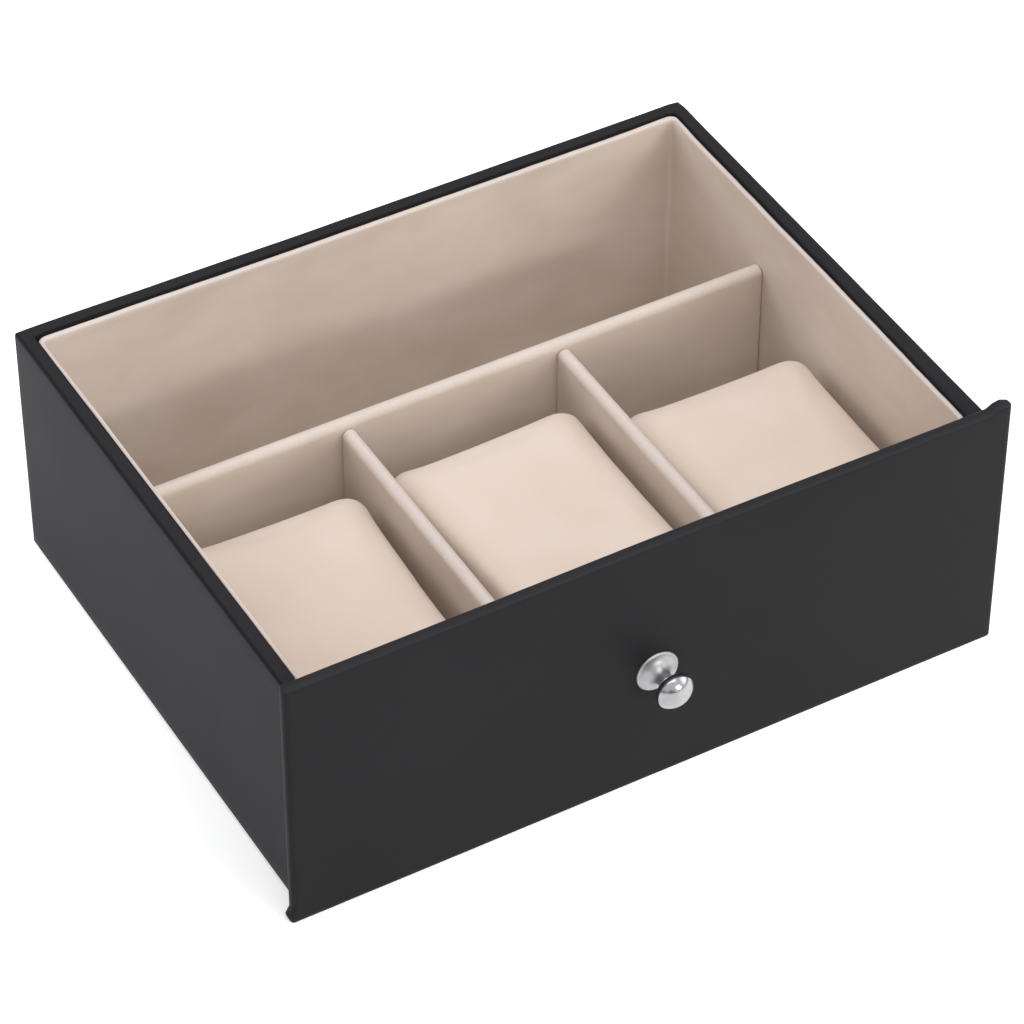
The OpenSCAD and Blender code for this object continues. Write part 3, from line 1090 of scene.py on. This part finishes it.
@dataclass
class Knob:
    """The turned knob: a dished foot, a waisted neck with a bead, and a domed head with a flat band."""

    foot_r: float = 8.2
    rim_r: float = 0.7
    neck_r: float = 2.8
    dish_rise: float = 1.6  # how far up its rim the foot's dish begins, in rim radii
    bead_r: float = 0.6
    head_r: float = 6.95
    head_y: float = 13.0
    dome_h: float = 3.6
    head_edge: float = 2.6  # how far the head's back lies behind its dome
    edge_r: float = 1.0
    flare_share: float = 0.55  # how much of the head's overhang its flare takes
    flare_lap: float = 0.25
    sides: int = 160
    crease_deg: float = 50.0

    def section(self) -> list[Spot]:
        """Lists the half section, from the foot's edge to the top of the dome.

        Returns:
            Each point's radius and height above the panel.
        """
        rim = arc((self.foot_r - self.rim_r, self.rim_r), self.rim_r, -90, 90, 14)
        trumpet_r = self.foot_r - self.rim_r - self.neck_r
        dish_y = self.rim_r * self.dish_rise + trumpet_r
        dish = arc((self.neck_r + trumpet_r, dish_y), trumpet_r, 262, 180, 40)
        flare_r = (self.head_r - self.neck_r) * self.flare_share
        back = self.head_y - self.head_edge
        bead_y = back - flare_r - self.bead_r / 2
        bead = arc((self.neck_r, bead_y), self.bead_r, -70, 70, 12)
        flare = arc((self.neck_r + flare_r, back - flare_r + self.flare_lap), flare_r, 180, 96, 20)
        edge = arc((self.head_r - self.edge_r, back + self.edge_r), self.edge_r, -90, 0, 9)
        band = [(self.head_r, self.head_y)]
        dome_r = (self.head_r**2 + self.dome_h**2) / (2 * self.dome_h)
        start = math.degrees(math.asin((dome_r - self.dome_h) / dome_r))
        dome = arc((0.0, self.head_y + self.dome_h - dome_r), dome_r, start, 90, 44)
        return [(0.0, 0.0)] + rim + dish + bead + flare + edge + band + dome

    def turn(self, piece: Piece, material: Material, seat: Vector) -> None:
        """Turns the half section into a solid with geometry nodes; its axis comes to lie along y.

        Args:
            piece: The section as a chain of edges: x is the radius less the foot's, y the height.
            material: Its material.
            seat: Where the section's foot stands, in metres; it rises towards -y.
        """
        lathe = Former("lathe", {"Reach": "Float", "Sides": "Int", "Seat": "Vector", "Turn": "Rotation"})
        tree, given = lathe.tree, lathe.given
        section = add_node(tree, "GeometryNodeMeshToCurve", {"Mesh": given["Geometry"]})
        path = add_node(
            tree, "GeometryNodeCurvePrimitiveCircle",
            {"Resolution": given["Sides"], "Radius": given["Reach"]}, mode="RADIUS",
        )
        turned = add_node(
            tree, "GeometryNodeCurveToMesh",
            {"Curve": path.outputs["Curve"], "Profile Curve": section.outputs["Curve"]},
        )
        closed = add_node(
            tree, "GeometryNodeMergeByDistance", {"Geometry": turned.outputs[0], "Distance": WELD_MM * MM}
        )
        placed = add_node(
            tree, "GeometryNodeTransform",
            {"Geometry": closed.outputs[0], "Translation": given["Seat"], "Rotation": given["Turn"]},
        )
        values = {"Reach": self.foot_r * MM, "Sides": self.sides, "Seat": seat}
        values |= {"Turn": (-math.pi / 2, 0.0, 0.0), "Material": material}
        lathe.apply(piece, placed.outputs[0], values)

    def build(self, finishes: Finishes) -> None:
        """Turns the section round the knob's axis and settles it on the tray.

        Args:
            finishes: The drawer's materials.
        """
        low, high = box_mm("knob")
        points = np.array([(radius - self.foot_r, rise, 0.0) for radius, rise in self.section()])
        mesh = bpy.data.meshes.new("knob_turned")
        mesh.from_pydata((points * MM).tolist(), [(i, i + 1) for i in range(len(points) - 1)], [])
        piece = bpy.data.objects.new("knob_turned", mesh)
        bpy.context.scene.collection.objects.link(piece)
        seat = Vector(((low[0] + high[0]) / 2, high[1], (low[2] + high[2]) / 2)) * MM
        self.turn(piece, finishes.chrome, seat)
        flip_out(piece)
        piece.data.shade_smooth()
        piece.data.set_sharp_from_angle(angle=math.radians(self.crease_deg))
        settle(piece, TRAY_BODY, ["knob"])


# ---- the velvet lining -----------------------------------------------------


@dataclass
class Lining:
    """Velvet over card on the four walls, with a rolled top edge and corners that tighten to a crease."""

    thickness: float = 1.6
    velvet: float = 0.6
    corner_r: float = 3.6
    least_corner_r: float = 0.5
    crease_power: float = 3.0
    crease_depth: float = 7.0
    roll: float = 1.05
    roll_out: float = 0.2
    below_roll: float = 1.0
    face_step: float = 3.0
    behind_step: float = 12.0
    on_wall: float = 3.0  # what lies this near a wall belongs to it
    wave: float = 0.14
    wave_mm: float = 24.0
    wave_share: float = 0.4  # how much of the wave is left below the top edge
    top_reach: float = 14.0
    edge_reach: float = 3.0
    ripple: float = 0.12
    ripple_mm: float = 8.0
    top_drop: float = 0.3
    left_lean: float = 0.4  # the left wall leans out a little at the back
    left_lean_reach: float = 60.0
    back_rise: float = 0.25  # the back wall's velvet stands this high and this far in
    back_end: float = 10.0  # and dies out this far from its corners
    corner_push: float = 0.6
    push_reach: float = 16.0
    corner_rise: float = 0.35  # the lining stands a little high in the back right corner
    rise_reach: float = 30.0
    roll_reach: float = 0.6
    floor_corner_r: float = 2.4
    floor_edge: tuple[float, float] = (0.15, 0.3)  # how far its edge is rounded, in and down
    floor_flat: float = 4.0
    steps: tuple[int, int, int] = (128, 96, 8)
    floor_steps: tuple[int, int, int] = (60, 46, 4)

    def wall_skin(self, half: np.ndarray, bottom: float, top: float) -> Skin:
        """Lofts the walls' velvet: up the inside, over the roll and down behind the card.

        Args:
            half: Half the lining's size along x and y.
            bottom: The height of its foot.
            top: The height of its roll.

        Returns:
            The points and the faces.
        """
        shoulder = top - self.roll
        core = self.thickness - self.velvet
        inner = [(self.thickness, z) for z in climb(bottom, shoulder - self.below_roll, self.face_step)]
        roll = arc((self.thickness / 2 - self.roll_out, shoulder), self.roll, 0, 180, 12)
        behind = [(core, shoulder - self.below_roll)]
        behind += [(core, z) for z in climb(shoulder - self.below_roll, bottom, self.behind_step)[1:]]
        rings = []
        for inset, z in inner + roll + behind:
            depth = np.clip((top - z) / self.crease_depth, 0, 1)
            power = 2 + (self.crease_power - 2) * depth * depth * (3 - 2 * depth)
            radius = max(self.corner_r - inset, self.least_corner_r)
            rings.append(level(outline(half[0] - inset, half[1] - inset, radius, self.steps, power), z))
        return loft(rings, closed=True)

    def soften(self, points: np.ndarray, half: np.ndarray, bottom: float, top: float) -> None:
        """Moves the velvet as hand-laid card and pile lie: waves, leaning walls and a high back corner.

        Args:
            points: The velvet's points, which are moved in place.
            half: Half the lining's size along x and y.
            bottom: The height of its foot.
            top: The height of its roll.
        """
        below_top = top - points[:, 2]
        near_top, near_edge = fade(below_top, self.top_reach), fade(below_top, self.edge_reach)
        on_right, on_left = half[0] - points[:, 0] < self.on_wall, half[0] + points[:, 0] < self.on_wall
        inward = -np.sign(points[:, :2]) * (half - np.abs(points[:, :2]) < self.on_wall)
        push = self.wave * (self.wave_share + near_top) * drift(points, self.wave_mm, seed=8.0)
        points[:, :2] += inward * np.clip(push, 0, None)[:, None]
        ripple = self.ripple * drift(points, self.ripple_mm, seed=9.0)
        points[:, 2] += near_edge * (ripple + HAND_WORK.rim_rise(points) - self.top_drop)
        height = np.clip((points[:, 2] - bottom) / (top - bottom), 0, 1) ** 2
        points[:, 0] -= on_right * height * HAND_WORK.right_lean(points)
        points[:, 0] -= on_left * height * self.left_lean * fade(half[1] - points[:, 1], self.left_lean_reach)
        from_corner = np.hypot(*(half - points[:, :2]).T)
        points[:, 2] += self.corner_rise * near_edge * fade(from_corner, self.rise_reach)
        from_ends = 1 - fade(half[0] - np.abs(points[:, 0]), self.back_end)
        on_back = (half[1] - points[:, 1] < self.on_wall) * from_ends
        rolled = fade(np.clip(top - self.roll - points[:, 2], 0, None), self.roll_reach)
        points[:, 2] += self.back_rise * on_back * near_edge
        points[:, 1] -= self.back_rise * on_back * height
        points[:, 0] += self.corner_push * on_right * rolled * fade(from_corner, self.push_reach)

    def build_walls(self, finishes: Finishes) -> None:
        """Makes the velvet of the four walls in one piece.

        Args:
            finishes: The drawer's materials.
        """
        low, _ = box_mm("left_lining_velvet")
        _, high = box_mm("right_lining_velvet")
        back, front = box_mm("back_lining_velvet"), box_mm("front_lining_velvet")
        half = np.array([(high[0] - low[0]) / 2, (back[1][1] - front[0][1]) / 2])
        points, faces = self.wall_skin(half, low[2], high[2])
        self.soften(points, half, low[2], high[2])
        piece = make_piece("lining_velvet", points, faces, finishes.lining)
        flip_out(piece)
        nodes = [f"{side}_lining_velvet" for side in ("left", "right", "back", "front")]
        settle(piece, TRAY_BODY, nodes)

    def build_floor(self, finishes: Finishes) -> None:
        """Makes the velvet of the floor.

        Args:
            finishes: The drawer's materials.
        """
        low, high = box_mm("floor_lining_velvet")
        half, centre = (high - low)[:2] / 2, (high + low)[:2] / 2
        inward, down = self.floor_edge
        rings = []
        for inset, z in [(0.0, low[2]), (0.0, high[2] - down), (inward, high[2]), (self.floor_flat, high[2])]:
            radius = max(self.floor_corner_r - inset, 0.0)
            ring = outline(half[0] - inset, half[1] - inset, radius, self.floor_steps)
            rings.append(level(ring + centre, z))
        points, faces = loft(rings)
        size = len(rings[0])
        faces += [tuple(range(size))[::-1], tuple(range(3 * size, 4 * size))]
        piece = make_piece("floor_velvet", points, faces, finishes.lining)
        settle(piece, TRAY_BODY, ["floor_lining_velvet"])


# ---- dividers --------------------------------------------------------------


@dataclass
class Dividers:
    """Boards covered in velvet: a long one across, and two short ones that butt against it."""

    end_r: float = 0.9
    swell: float = 0.12
    swell_mm: float = 30.0
    copies: int = 2
    along_step: float = 2.0
    rows: int = 22  # of points up each side

    def slab(self, length: float, thickness: float, height: float) -> Skin:
        """Makes a soft slab, standing on z 0 and lying along y, with a round top and softened ends.

        Args:
            length: Its size along y.
            thickness: Its size along x.
            height: Its size along z.

        Returns:
            The points and the faces.
        """
        turn = np.linspace(0, math.pi / 2, 6)
        ends = [(self.end_r * (1 - math.cos(t)), self.end_r * (1 - math.sin(t))) for t in turn]
        stations = [(-length / 2 + back, inset) for back, inset in ends]
        straight = length / 2 - self.end_r
        stations += [(y, 0.0) for y in climb(-straight, straight, self.along_step)[1:-1]]
        stations += [(length / 2 - back, inset) for back, inset in reversed(ends)]
        rings = []
        for y, inset in stations:
            half = thickness / 2 - inset
            top = height - inset - half
            side = list(np.linspace(0.0, top, self.rows))
            right, left = [(half, z) for z in side[:-1]], [(-half, z) for z in side[-2::-1]]
            section = right + arc((0.0, top), half, 0, 180, 14) + left
            rings.append(np.array([(x, y, z) for x, z in section]))
        points, faces = loft(rings)
        size, last = len(rings[0]), len(rings) - 1
        return points, faces + [tuple(range(size)), tuple(range(last * size, (last + 1) * size))[::-1]]

    def build_cross(self, finishes: Finishes) -> None:
        """Makes the long divider's cover.

        Args:
            finishes: The drawer's materials.
        """
        low, high = box_mm("cross_divider_velvet")
        points, faces = self.slab(high[0] - low[0], high[1] - low[1], high[2] - low[2])
        points = points[:, [1, 0, 2]] + np.array([(low[0] + high[0]) / 2, (low[1] + high[1]) / 2, low[2]])
        points[:, 1] += self.swell * drift(points, self.swell_mm, seed=12.0)
        piece = make_piece("cross_divider_cover", points, faces, finishes.divider)
        flip_out(piece)
        settle(piece, TRAY_BODY, ["cross_divider_velvet"])

    def build_short(self, finishes: Finishes) -> None:
        """Makes both short dividers' covers: one slab, set out twice by geometry nodes.

        Args:
            finishes: The drawer's materials.
        """
        low, high = box_mm("left_divider_velvet")
        other, _ = box_mm("right_divider_velvet")
        points, faces = self.slab(high[1] - low[1], high[0] - low[0], high[2] - low[2])
        piece = make_piece("short_divider_covers", points, faces, finishes.short_divider_painted_shade)
        flip_out(piece)
        start = Vector(((low[0] + high[0]) / 2, (low[1] + high[1]) / 2, low[2])) * MM
        self.set_out(piece, finishes.short_divider_painted_shade, start, (other[0] - low[0]) * MM)
        settle(piece, TRAY_BODY, ["left_divider_velvet", "right_divider_velvet"])

    def set_out(self, piece: Piece, material: Material, start: Vector, pitch: float) -> None:
        """Repeats a divider along x with geometry nodes, each copy a little uneven in its own way.

        Args:
            piece: The divider, lying at the origin.
            material: Its material.
            start: Where the first copy goes, in metres.
            pitch: How far apart the copies lie, in metres.
        """
        sizes = {"Copies": "Int", "Start": "Vector", "Pitch": "Float", "Swell": "Float", "Waves": "Float"}
        row = Former("divider_row", sizes)
        tree, given = row.tree, row.given
        step = add_node(tree, "ShaderNodeCombineXYZ", {"X": given["Pitch"]})
        line = add_node(
            tree, "GeometryNodeMeshLine",
            {"Count": given["Copies"], "Start Location": given["Start"], "Offset": step.outputs[0]},
            mode="OFFSET",
        )
        copies = add_node(
            tree, "GeometryNodeInstanceOnPoints",
            {"Points": line.outputs[0], "Instance": given["Geometry"]},
        )
        real = add_node(tree, "GeometryNodeRealizeInstances", {"Geometry": copies.outputs[0]})
        place = add_node(tree, "GeometryNodeInputPosition").outputs[0]
        swells = add_node(
            tree, "ShaderNodeTexNoise", {"Vector": place, "Scale": given["Waves"], "Detail": 1.0}
        )
        centred = add_node(tree, "ShaderNodeMath", {0: swells.outputs["Fac"], 1: 0.5}, operation="SUBTRACT")
        pushed = add_node(
            tree, "ShaderNodeMath", {0: centred.outputs[0], 1: given["Swell"]}, operation="MULTIPLY"
        )
        offset = add_node(tree, "ShaderNodeCombineXYZ", {"X": pushed.outputs[0]})
        shaped = add_node(
            tree, "GeometryNodeSetPosition", {"Geometry": real.outputs[0], "Offset": offset.outputs[0]}
        )
        values = {"Copies": self.copies, "Start": start, "Pitch": pitch, "Swell": self.swell * MM}
        values |= {"Waves": per_metre(self.swell_mm), "Material": material}
        row.apply(piece, shaped.outputs[0], values)


# ---- cushions --------------------------------------------------------------


class Place(Enum):
    """The bay that a cushion lies in."""

    LEFT = "left"
    MIDDLE = "middle"
    RIGHT = "right"


@dataclass
class Cushion:
    """A filled cushion covered in short velvet, blown up as cloth and settled in its bay."""

    place: Place
    turn: float
    front_corner: tuple[float, float]  # how far its front right corner lies off a rectangle's, in mm
    back_corner: tuple[float, float]  # and its back right corner
    shift: tuple[float, float] = (0.0, 0.0)  # how far the soft cover lies off its solid's middle, in mm
    width: float = 72.0
    length: float = 92.0
    side_roll: float = 9.0  # the top rolls over gently at the sides and tightly at the ends
    end_roll: float = 5.0
    left_roll: float = 2.8
    left_corner: float = 2.5  # how far the back left corner is squeezed against the divider
    sharpened: float = 1.5  # how far that corner is stuffed out
    sharp_reach: float = 14.0
    roll_height: float = 5.5
    foot_r: float = 5.5
    corner_r: float = 7.0
    inset: float = 0.5  # the cover starts this much smaller, because it swells
    pull_in: float = 0.7
    low_share: float = 0.1  # how much of the pull is left at its underside
    droop: float = 0.25
    crown: float = 0.5
    enlarge: float = 5.0  # cloth is simulated at this scale, where its settings suit upholstery
    voxel_mm: float = 1.7
    pressure: float = 4.0
    frames: int = 20
    cap_mm: float = 0.8
    relaxing: float = 0.5
    relaxed: int = 8
    fill: float = 0.8
    under_step: float = 3.0
    step: float = 2.2
    steps: tuple[int, int, int] = (40, 52, 6)
    seam_z: float = 9.0
    seam_depth: float = 0.55
    seam_width: float = 0.9

    def node(self) -> str:
        """Returns the name of its CAD node and body."""
        return f"cushion_{self.place.value}"

    def profile(self, half: np.ndarray) -> list[tuple[float, float, float]]:
        """Lists the rings from the middle of the underside, up the side, to the middle of the top.

        Args:
            half: Half the cushion's width, length and height.

        Returns:
            The inset of the sides, the inset of the ends and the height of each ring.
        """
        low, high = -half[2], half[2]
        under = [(inset, inset, low) for inset in climb(half[0], self.foot_r, self.under_step)[:-1]]
        bend = arc((self.foot_r, low + self.foot_r), self.foot_r, 270, 180, 7)
        foot = [(inset, inset, z) for inset, z in bend]
        side = [(0.0, 0.0, z) for z in climb(low + self.foot_r, high - self.roll_height, self.step)[1:-1]]
        edge = []
        for turn in np.linspace(0, math.pi / 2, 11):
            inward, down = 1 - math.cos(turn), 1 - math.sin(turn)
            edge.append((self.side_roll * inward, self.end_roll * inward, high - self.roll_height * down))
        narrower = self.end_roll - self.side_roll
        over = [(inset, inset + narrower, high) for inset in climb(self.side_roll, half[0], self.step)[1:]]
        return under + foot + side + edge + over

    def block(self, size: np.ndarray) -> Skin:
        """Makes the rounded block that is blown up, round the origin: its sides pull in between its corners.

        Args:
            size: The block's width, length and height.

        Returns:
            The points and the faces.
        """
        half = size / 2
        rings = []
        for side, end, z in self.profile(half):
            share = min(side / self.side_roll, (half[0] - side) / (half[0] - self.side_roll)) * (z > 0)
            tight = (self.side_roll - self.left_roll) * share / 2
            radius = min(self.corner_r, half[0] - side)
            ring = outline(half[0] - side + tight, half[1] - end, radius, self.steps)
            ring[:, 0] -= tight
            rings.append(level(ring, z))
        points, faces = loft(rings)
        u, v, w = (points / half).T
        slack = self.pull_in * ((1 + self.low_share) / 2 + (1 - self.low_share) / 2 * w)
        points[:, 0] -= u * slack * (1 - v**2)
        points[:, 1] -= v * slack * (1 - u**2)
        upper = np.clip(w * 2 - 0.6, 0, 1)  # 0 up to w 0.3, 1 from w 0.8
        points[:, 2] += upper * self.crown * (1 - u**2) * (1 - v**2)
        points[:, 2] -= upper * self.droop * (v**6 * (1 - u**2) + u**6 * (1 - v**2))
        back_left = np.hypot(half[0] + points[:, 0], half[1] - points[:, 1])
        stuffed = self.sharpened * fade(back_left, self.sharp_reach)
        points[:, :2] += np.column_stack([-stuffed, stuffed])
        points[:, 0] -= self.left_corner * np.clip((1 - u) / 2, 0, 1) * np.clip((1 + v) / 2, 0, 1)
        for (across, back), side in ((self.front_corner, -1.0), (self.back_corner, 1.0)):
            share = np.clip((1 + u) / 2, 0, 1) * np.clip((1 + side * v) / 2, 0, 1)
            points[:, 0] += share * across
            points[:, 1] += share * back
        return points, faces

    def blow_up(self, piece: Piece) -> None:
        """Simulates the cover as cloth under pressure and keeps the result in the mesh.

        Args:
            piece: The cushion's block, lying at the origin.
        """
        piece.data.transform(Matrix.Scale(self.enlarge, 4))
        remesh = piece.modifiers.new("voxels", "REMESH")
        remesh.mode = "VOXEL"
        remesh.voxel_size = self.voxel_mm * MM * self.enlarge
        bake(piece)
        rest = positions(piece.data)
        cloth = piece.modifiers.new("cloth", "CLOTH")
        cloth.settings.use_pressure = True
        cloth.settings.uniform_pressure_force = self.pressure
        cloth.settings.effector_weights.gravity = 0.0
        cloth.point_cache.frame_start = 1
        cloth.point_cache.frame_end = self.frames
        for number in range(1, self.frames + 1):
            bpy.context.scene.frame_set(number)
        bake(piece)
        bpy.context.scene.frame_set(1)
        moved = positions(piece.data) - rest
        length = np.linalg.norm(moved, axis=1, keepdims=True)
        log.info("%s: cloth moved %.2f mm at most", piece.name, length.max() / MM / self.enlarge)
        cap = self.cap_mm * MM * self.enlarge
        put_points(piece.data, rest + moved * np.minimum(1, cap / np.maximum(length, 1e-9)))
        relax = piece.modifiers.new("relax", "SMOOTH")
        relax.factor, relax.iterations = self.relaxing, self.relaxed
        bake(piece)
        piece.data.transform(Matrix.Scale(1 / self.enlarge, 4))

    def build(self, finishes: Finishes) -> None:
        """Makes the cushion and settles it on its own body.

        Args:
            finishes: The drawer's materials.
        """
        low, high = box_mm(self.node())
        size = np.array([self.width, self.length, high[2] - low[2]])
        points, faces = self.block(size - 2 * self.inset)
        piece = make_piece(f"{self.node()}_padded", points, faces, finishes.cushion)
        self.blow_up(piece)
        self.finish(piece, size)
        turn = Matrix.Rotation(math.radians(self.turn), 4, "Z")
        middle = (low + high) / 2 + np.array([*self.shift, 0.0])
        piece.data.transform(Matrix.Translation(Vector(middle) * MM) @ turn)
        settle(piece, self.node(), [self.node()])

    def finish(self, piece: Piece, size: np.ndarray) -> None:
        """Rounds the cover off, sews its low seam and flattens its underside.

        Args:
            piece: The cushion, lying at the origin.
            size: Its width, length and height in mm.
        """
        smooth = piece.modifiers.new("smooth", "SUBSURF")
        smooth.levels = smooth.render_levels = 1
        bake(piece)
        spots = positions(piece.data) / MM
        height = spots[:, 2] + size[2] / 2
        groove = self.seam_depth * np.exp(-(((height - self.seam_z) / self.seam_width) ** 2))
        from_middle = np.linalg.norm(spots[:, :2], axis=1, keepdims=True)
        spots[:, :2] *= 1 - groove[:, None] / np.maximum(from_middle, 1.0)
        spots[:, 2] = np.maximum(spots[:, 2], -size[2] / 2)
        put_points(piece.data, spots * MM)
        piece.data.shade_smooth()


def positions(mesh: bpy.types.Mesh) -> np.ndarray:
    """Reads a mesh's points.

    Args:
        mesh: The mesh.

    Returns:
        The points, one row each.
    """
    flat = np.zeros(len(mesh.vertices) * 3, dtype=np.float32)
    mesh.vertices.foreach_get("co", flat)
    return flat.reshape(-1, 3).astype(float)


def put_points(mesh: bpy.types.Mesh, points: np.ndarray) -> None:
    """Moves a mesh's points to new places, one row each."""
    mesh.vertices.foreach_set("co", points.astype(np.float32).ravel())
    mesh.update()


# ---- what stays as packed ----------------------------------------------------


def dress_frame(finishes: Finishes) -> None:
    """Gives the CAD nodes that stay as packed their real finish.

    Args:
        finishes: The drawer's materials.
    """
    kinds = {
        "_board": finishes.fibreboard,
        "_card": finishes.card,
        "base_sheet": finishes.wrap,
        "knob_screw": finishes.zinc,
        "knob_washer": finishes.zinc,
    }
    for name, node in frame["nodes"].items():
        for ending, material in kinds.items():
            if name.endswith(ending):
                node.data.materials.clear()
                node.data.materials.append(material)
                log.info("%s: dressed in %s", name, material.name)


# ---- studio ------------------------------------------------------------------


@dataclass(frozen=True)
class Softbox:
    """A rectangular lamp aimed at the drawer; azimuth 0 stands before the drawer and 90 to its right."""

    name: str
    azimuth: float
    elevation: float
    distance: float
    size: tuple[float, float]
    power: float
    colour: str = "#ffffff"

    def build(self, target: Vector) -> None:
        """Hangs the lamp.

        Args:
            target: What it is aimed at.
        """
        data = bpy.data.lights.new(self.name, "AREA")
        data.shape = "RECTANGLE"
        data.size, data.size_y = self.size
        data.energy = self.power
        data.color = linear(self.colour)[:3]
        a, e = math.radians(self.azimuth), math.radians(self.elevation)
        way = Vector((math.sin(a) * math.cos(e), -math.cos(a) * math.cos(e), math.sin(e)))
        lamp = bpy.data.objects.new(self.name, data)
        lamp.location = target + way * self.distance
        lamp.rotation_mode = "QUATERNION"
        lamp.rotation_quaternion = way.to_track_quat("Z", "Y")
        bpy.context.scene.collection.objects.link(lamp)


@dataclass
class Studio:
    """The pale floor, the soft lamps and the camera."""

    target: tuple[float, float, float] = (-0.0038, -0.01576, 0.05)
    camera_azimuth: float = 29.853
    camera_elevation: float = 42.456
    camera_roll: float = 0.11
    camera_distance: float = 1.59927
    lens_mm: float = 160.3
    floor_half: float = 6.0
    sky_ahead: float = 1.0
    sky_behind: float = 0.54
    softboxes: tuple[Softbox, ...] = (
        Softbox("overhead", azimuth=-15.0, elevation=66.0, distance=1.9, size=(1.6, 1.1), power=15.2),
        Softbox(
            "key", azimuth=17.0, elevation=16.3, distance=2.2, size=(0.42, 0.34), power=10.0, colour="#fffaf5"
        ),
        Softbox(
            "left_fill", azimuth=-128.0, elevation=24.0, distance=1.0, size=(0.7, 0.6), power=3.0,
            colour="#fbfcff",
        ),
        Softbox("right_glow", azimuth=58.0, elevation=22.0, distance=1.2, size=(0.6, 0.6), power=1.8),
    )

    def floor(self) -> None:
        """Lays the floor under the drawer's lowest edge."""
        half = self.floor_half / MM
        corners = np.array([(-half, -half), (half, -half), (half, half), (-half, half)])
        points = level(corners, cad_box[0][2] / MM)
        make_piece("floor", points, [(0, 1, 2, 3)], LitFloor("pale_floor").build())

    def camera(self) -> None:
        """Sets the camera by its angles round the target."""
        data = bpy.data.cameras.new("camera")
        data.lens = self.lens_mm
        data.sensor_width = 36.0
        data.clip_end = 50.0
        seat = bpy.data.objects.new("camera", data)
        a, e = math.radians(self.camera_azimuth), math.radians(self.camera_elevation)
        back = Vector((-math.sin(a) * math.cos(e), -math.cos(a) * math.cos(e), math.sin(e)))
        seat.location = Vector(self.target) + back * self.camera_distance
        seat.rotation_mode = "QUATERNION"
        roll = Matrix.Rotation(math.radians(self.camera_roll), 4, back)
        seat.rotation_quaternion = (roll @ back.to_track_quat("Z", "Y").to_matrix().to_4x4()).to_quaternion()
        bpy.context.scene.collection.objects.link(seat)
        bpy.context.scene.camera = seat

    def build(self) -> None:
        """Builds the whole studio."""
        self.floor()
        self.camera()
        self.air()
        bpy.context.scene.view_settings.view_transform = "Standard"
        for softbox in self.softboxes:
            softbox.build(Vector(self.target))

    def air(self) -> None:
        """Sets the light of the room: white cloth above a patchy, darker horizon, brightest in front."""
        world = bpy.data.worlds.new("studio_air")
        world.use_nodes = True
        tree = world.node_tree
        way = add_node(tree, "ShaderNodeTexCoord").outputs["Generated"]
        _, ahead, up = add_node(tree, "ShaderNodeSeparateXYZ", {0: way}).outputs
        cloth = add_node(tree, "ShaderNodeTexNoise", {"Vector": way, "Scale": 2.2, "Detail": 2.0})
        uneven = add_node(tree, "ShaderNodeMath", {0: cloth.outputs["Fac"], 1: 0.5}, operation="SUBTRACT")
        height = add_node(
            tree, "ShaderNodeMath", {0: uneven.outputs[0], 1: 0.9, 2: up}, operation="MULTIPLY_ADD"
        )
        tone = add_node(tree, "ShaderNodeValToRGB", {"Fac": height.outputs[0]})
        horizon = [(0.0, "#4c4c4e"), (0.08, "#8e8e90"), (0.17, "#e2e2e2")]
        set_ramp(tone, horizon + [(0.4, "#ffffff"), (1.0, "#d2d2d4")])
        front = add_node(
            tree, "ShaderNodeMapRange",
            {"Value": ahead, "From Min": 0.3, "From Max": -0.8,
             "To Min": self.sky_behind, "To Max": self.sky_ahead},
        )
        air = tree.nodes["Background"]
        tree.links.new(tone.outputs["Color"], air.inputs["Color"])
        tree.links.new(front.outputs["Result"], air.inputs["Strength"])
        bpy.context.scene.world = world


def main() -> None:
    """Builds every piece in order."""
    logging.basicConfig(level=logging.INFO, format="%(name)s: %(message)s")
    finishes = Finishes()
    dress_frame(finishes)
    TrayWrap().build(finishes)
    PanelWrap().build(finishes)
    Knob().build(finishes)
    lining = Lining()
    lining.build_walls(finishes)
    lining.build_floor(finishes)
    dividers = Dividers()
    dividers.build_cross(finishes)
    dividers.build_short(finishes)
    cushions = (
        Cushion(
            Place.LEFT, turn=-0.4, front_corner=(-0.7, 0.0), back_corner=(2.8, -1.1), shift=(0.0, 1.9),
            left_corner=0.6,
        ),
        Cushion(Place.MIDDLE, turn=2.0, front_corner=(0.1, 0.0), back_corner=(3.5, -0.6), shift=(0.0, -0.3)),
        Cushion(Place.RIGHT, turn=0.0, front_corner=(0.5, 0.0), back_corner=(2.4, -0.6), shift=(0.0, 1.2)),
    )
    for cushion in cushions:
        cushion.build(finishes)
    Studio().build()


if __name__ == "__main__":
    main()
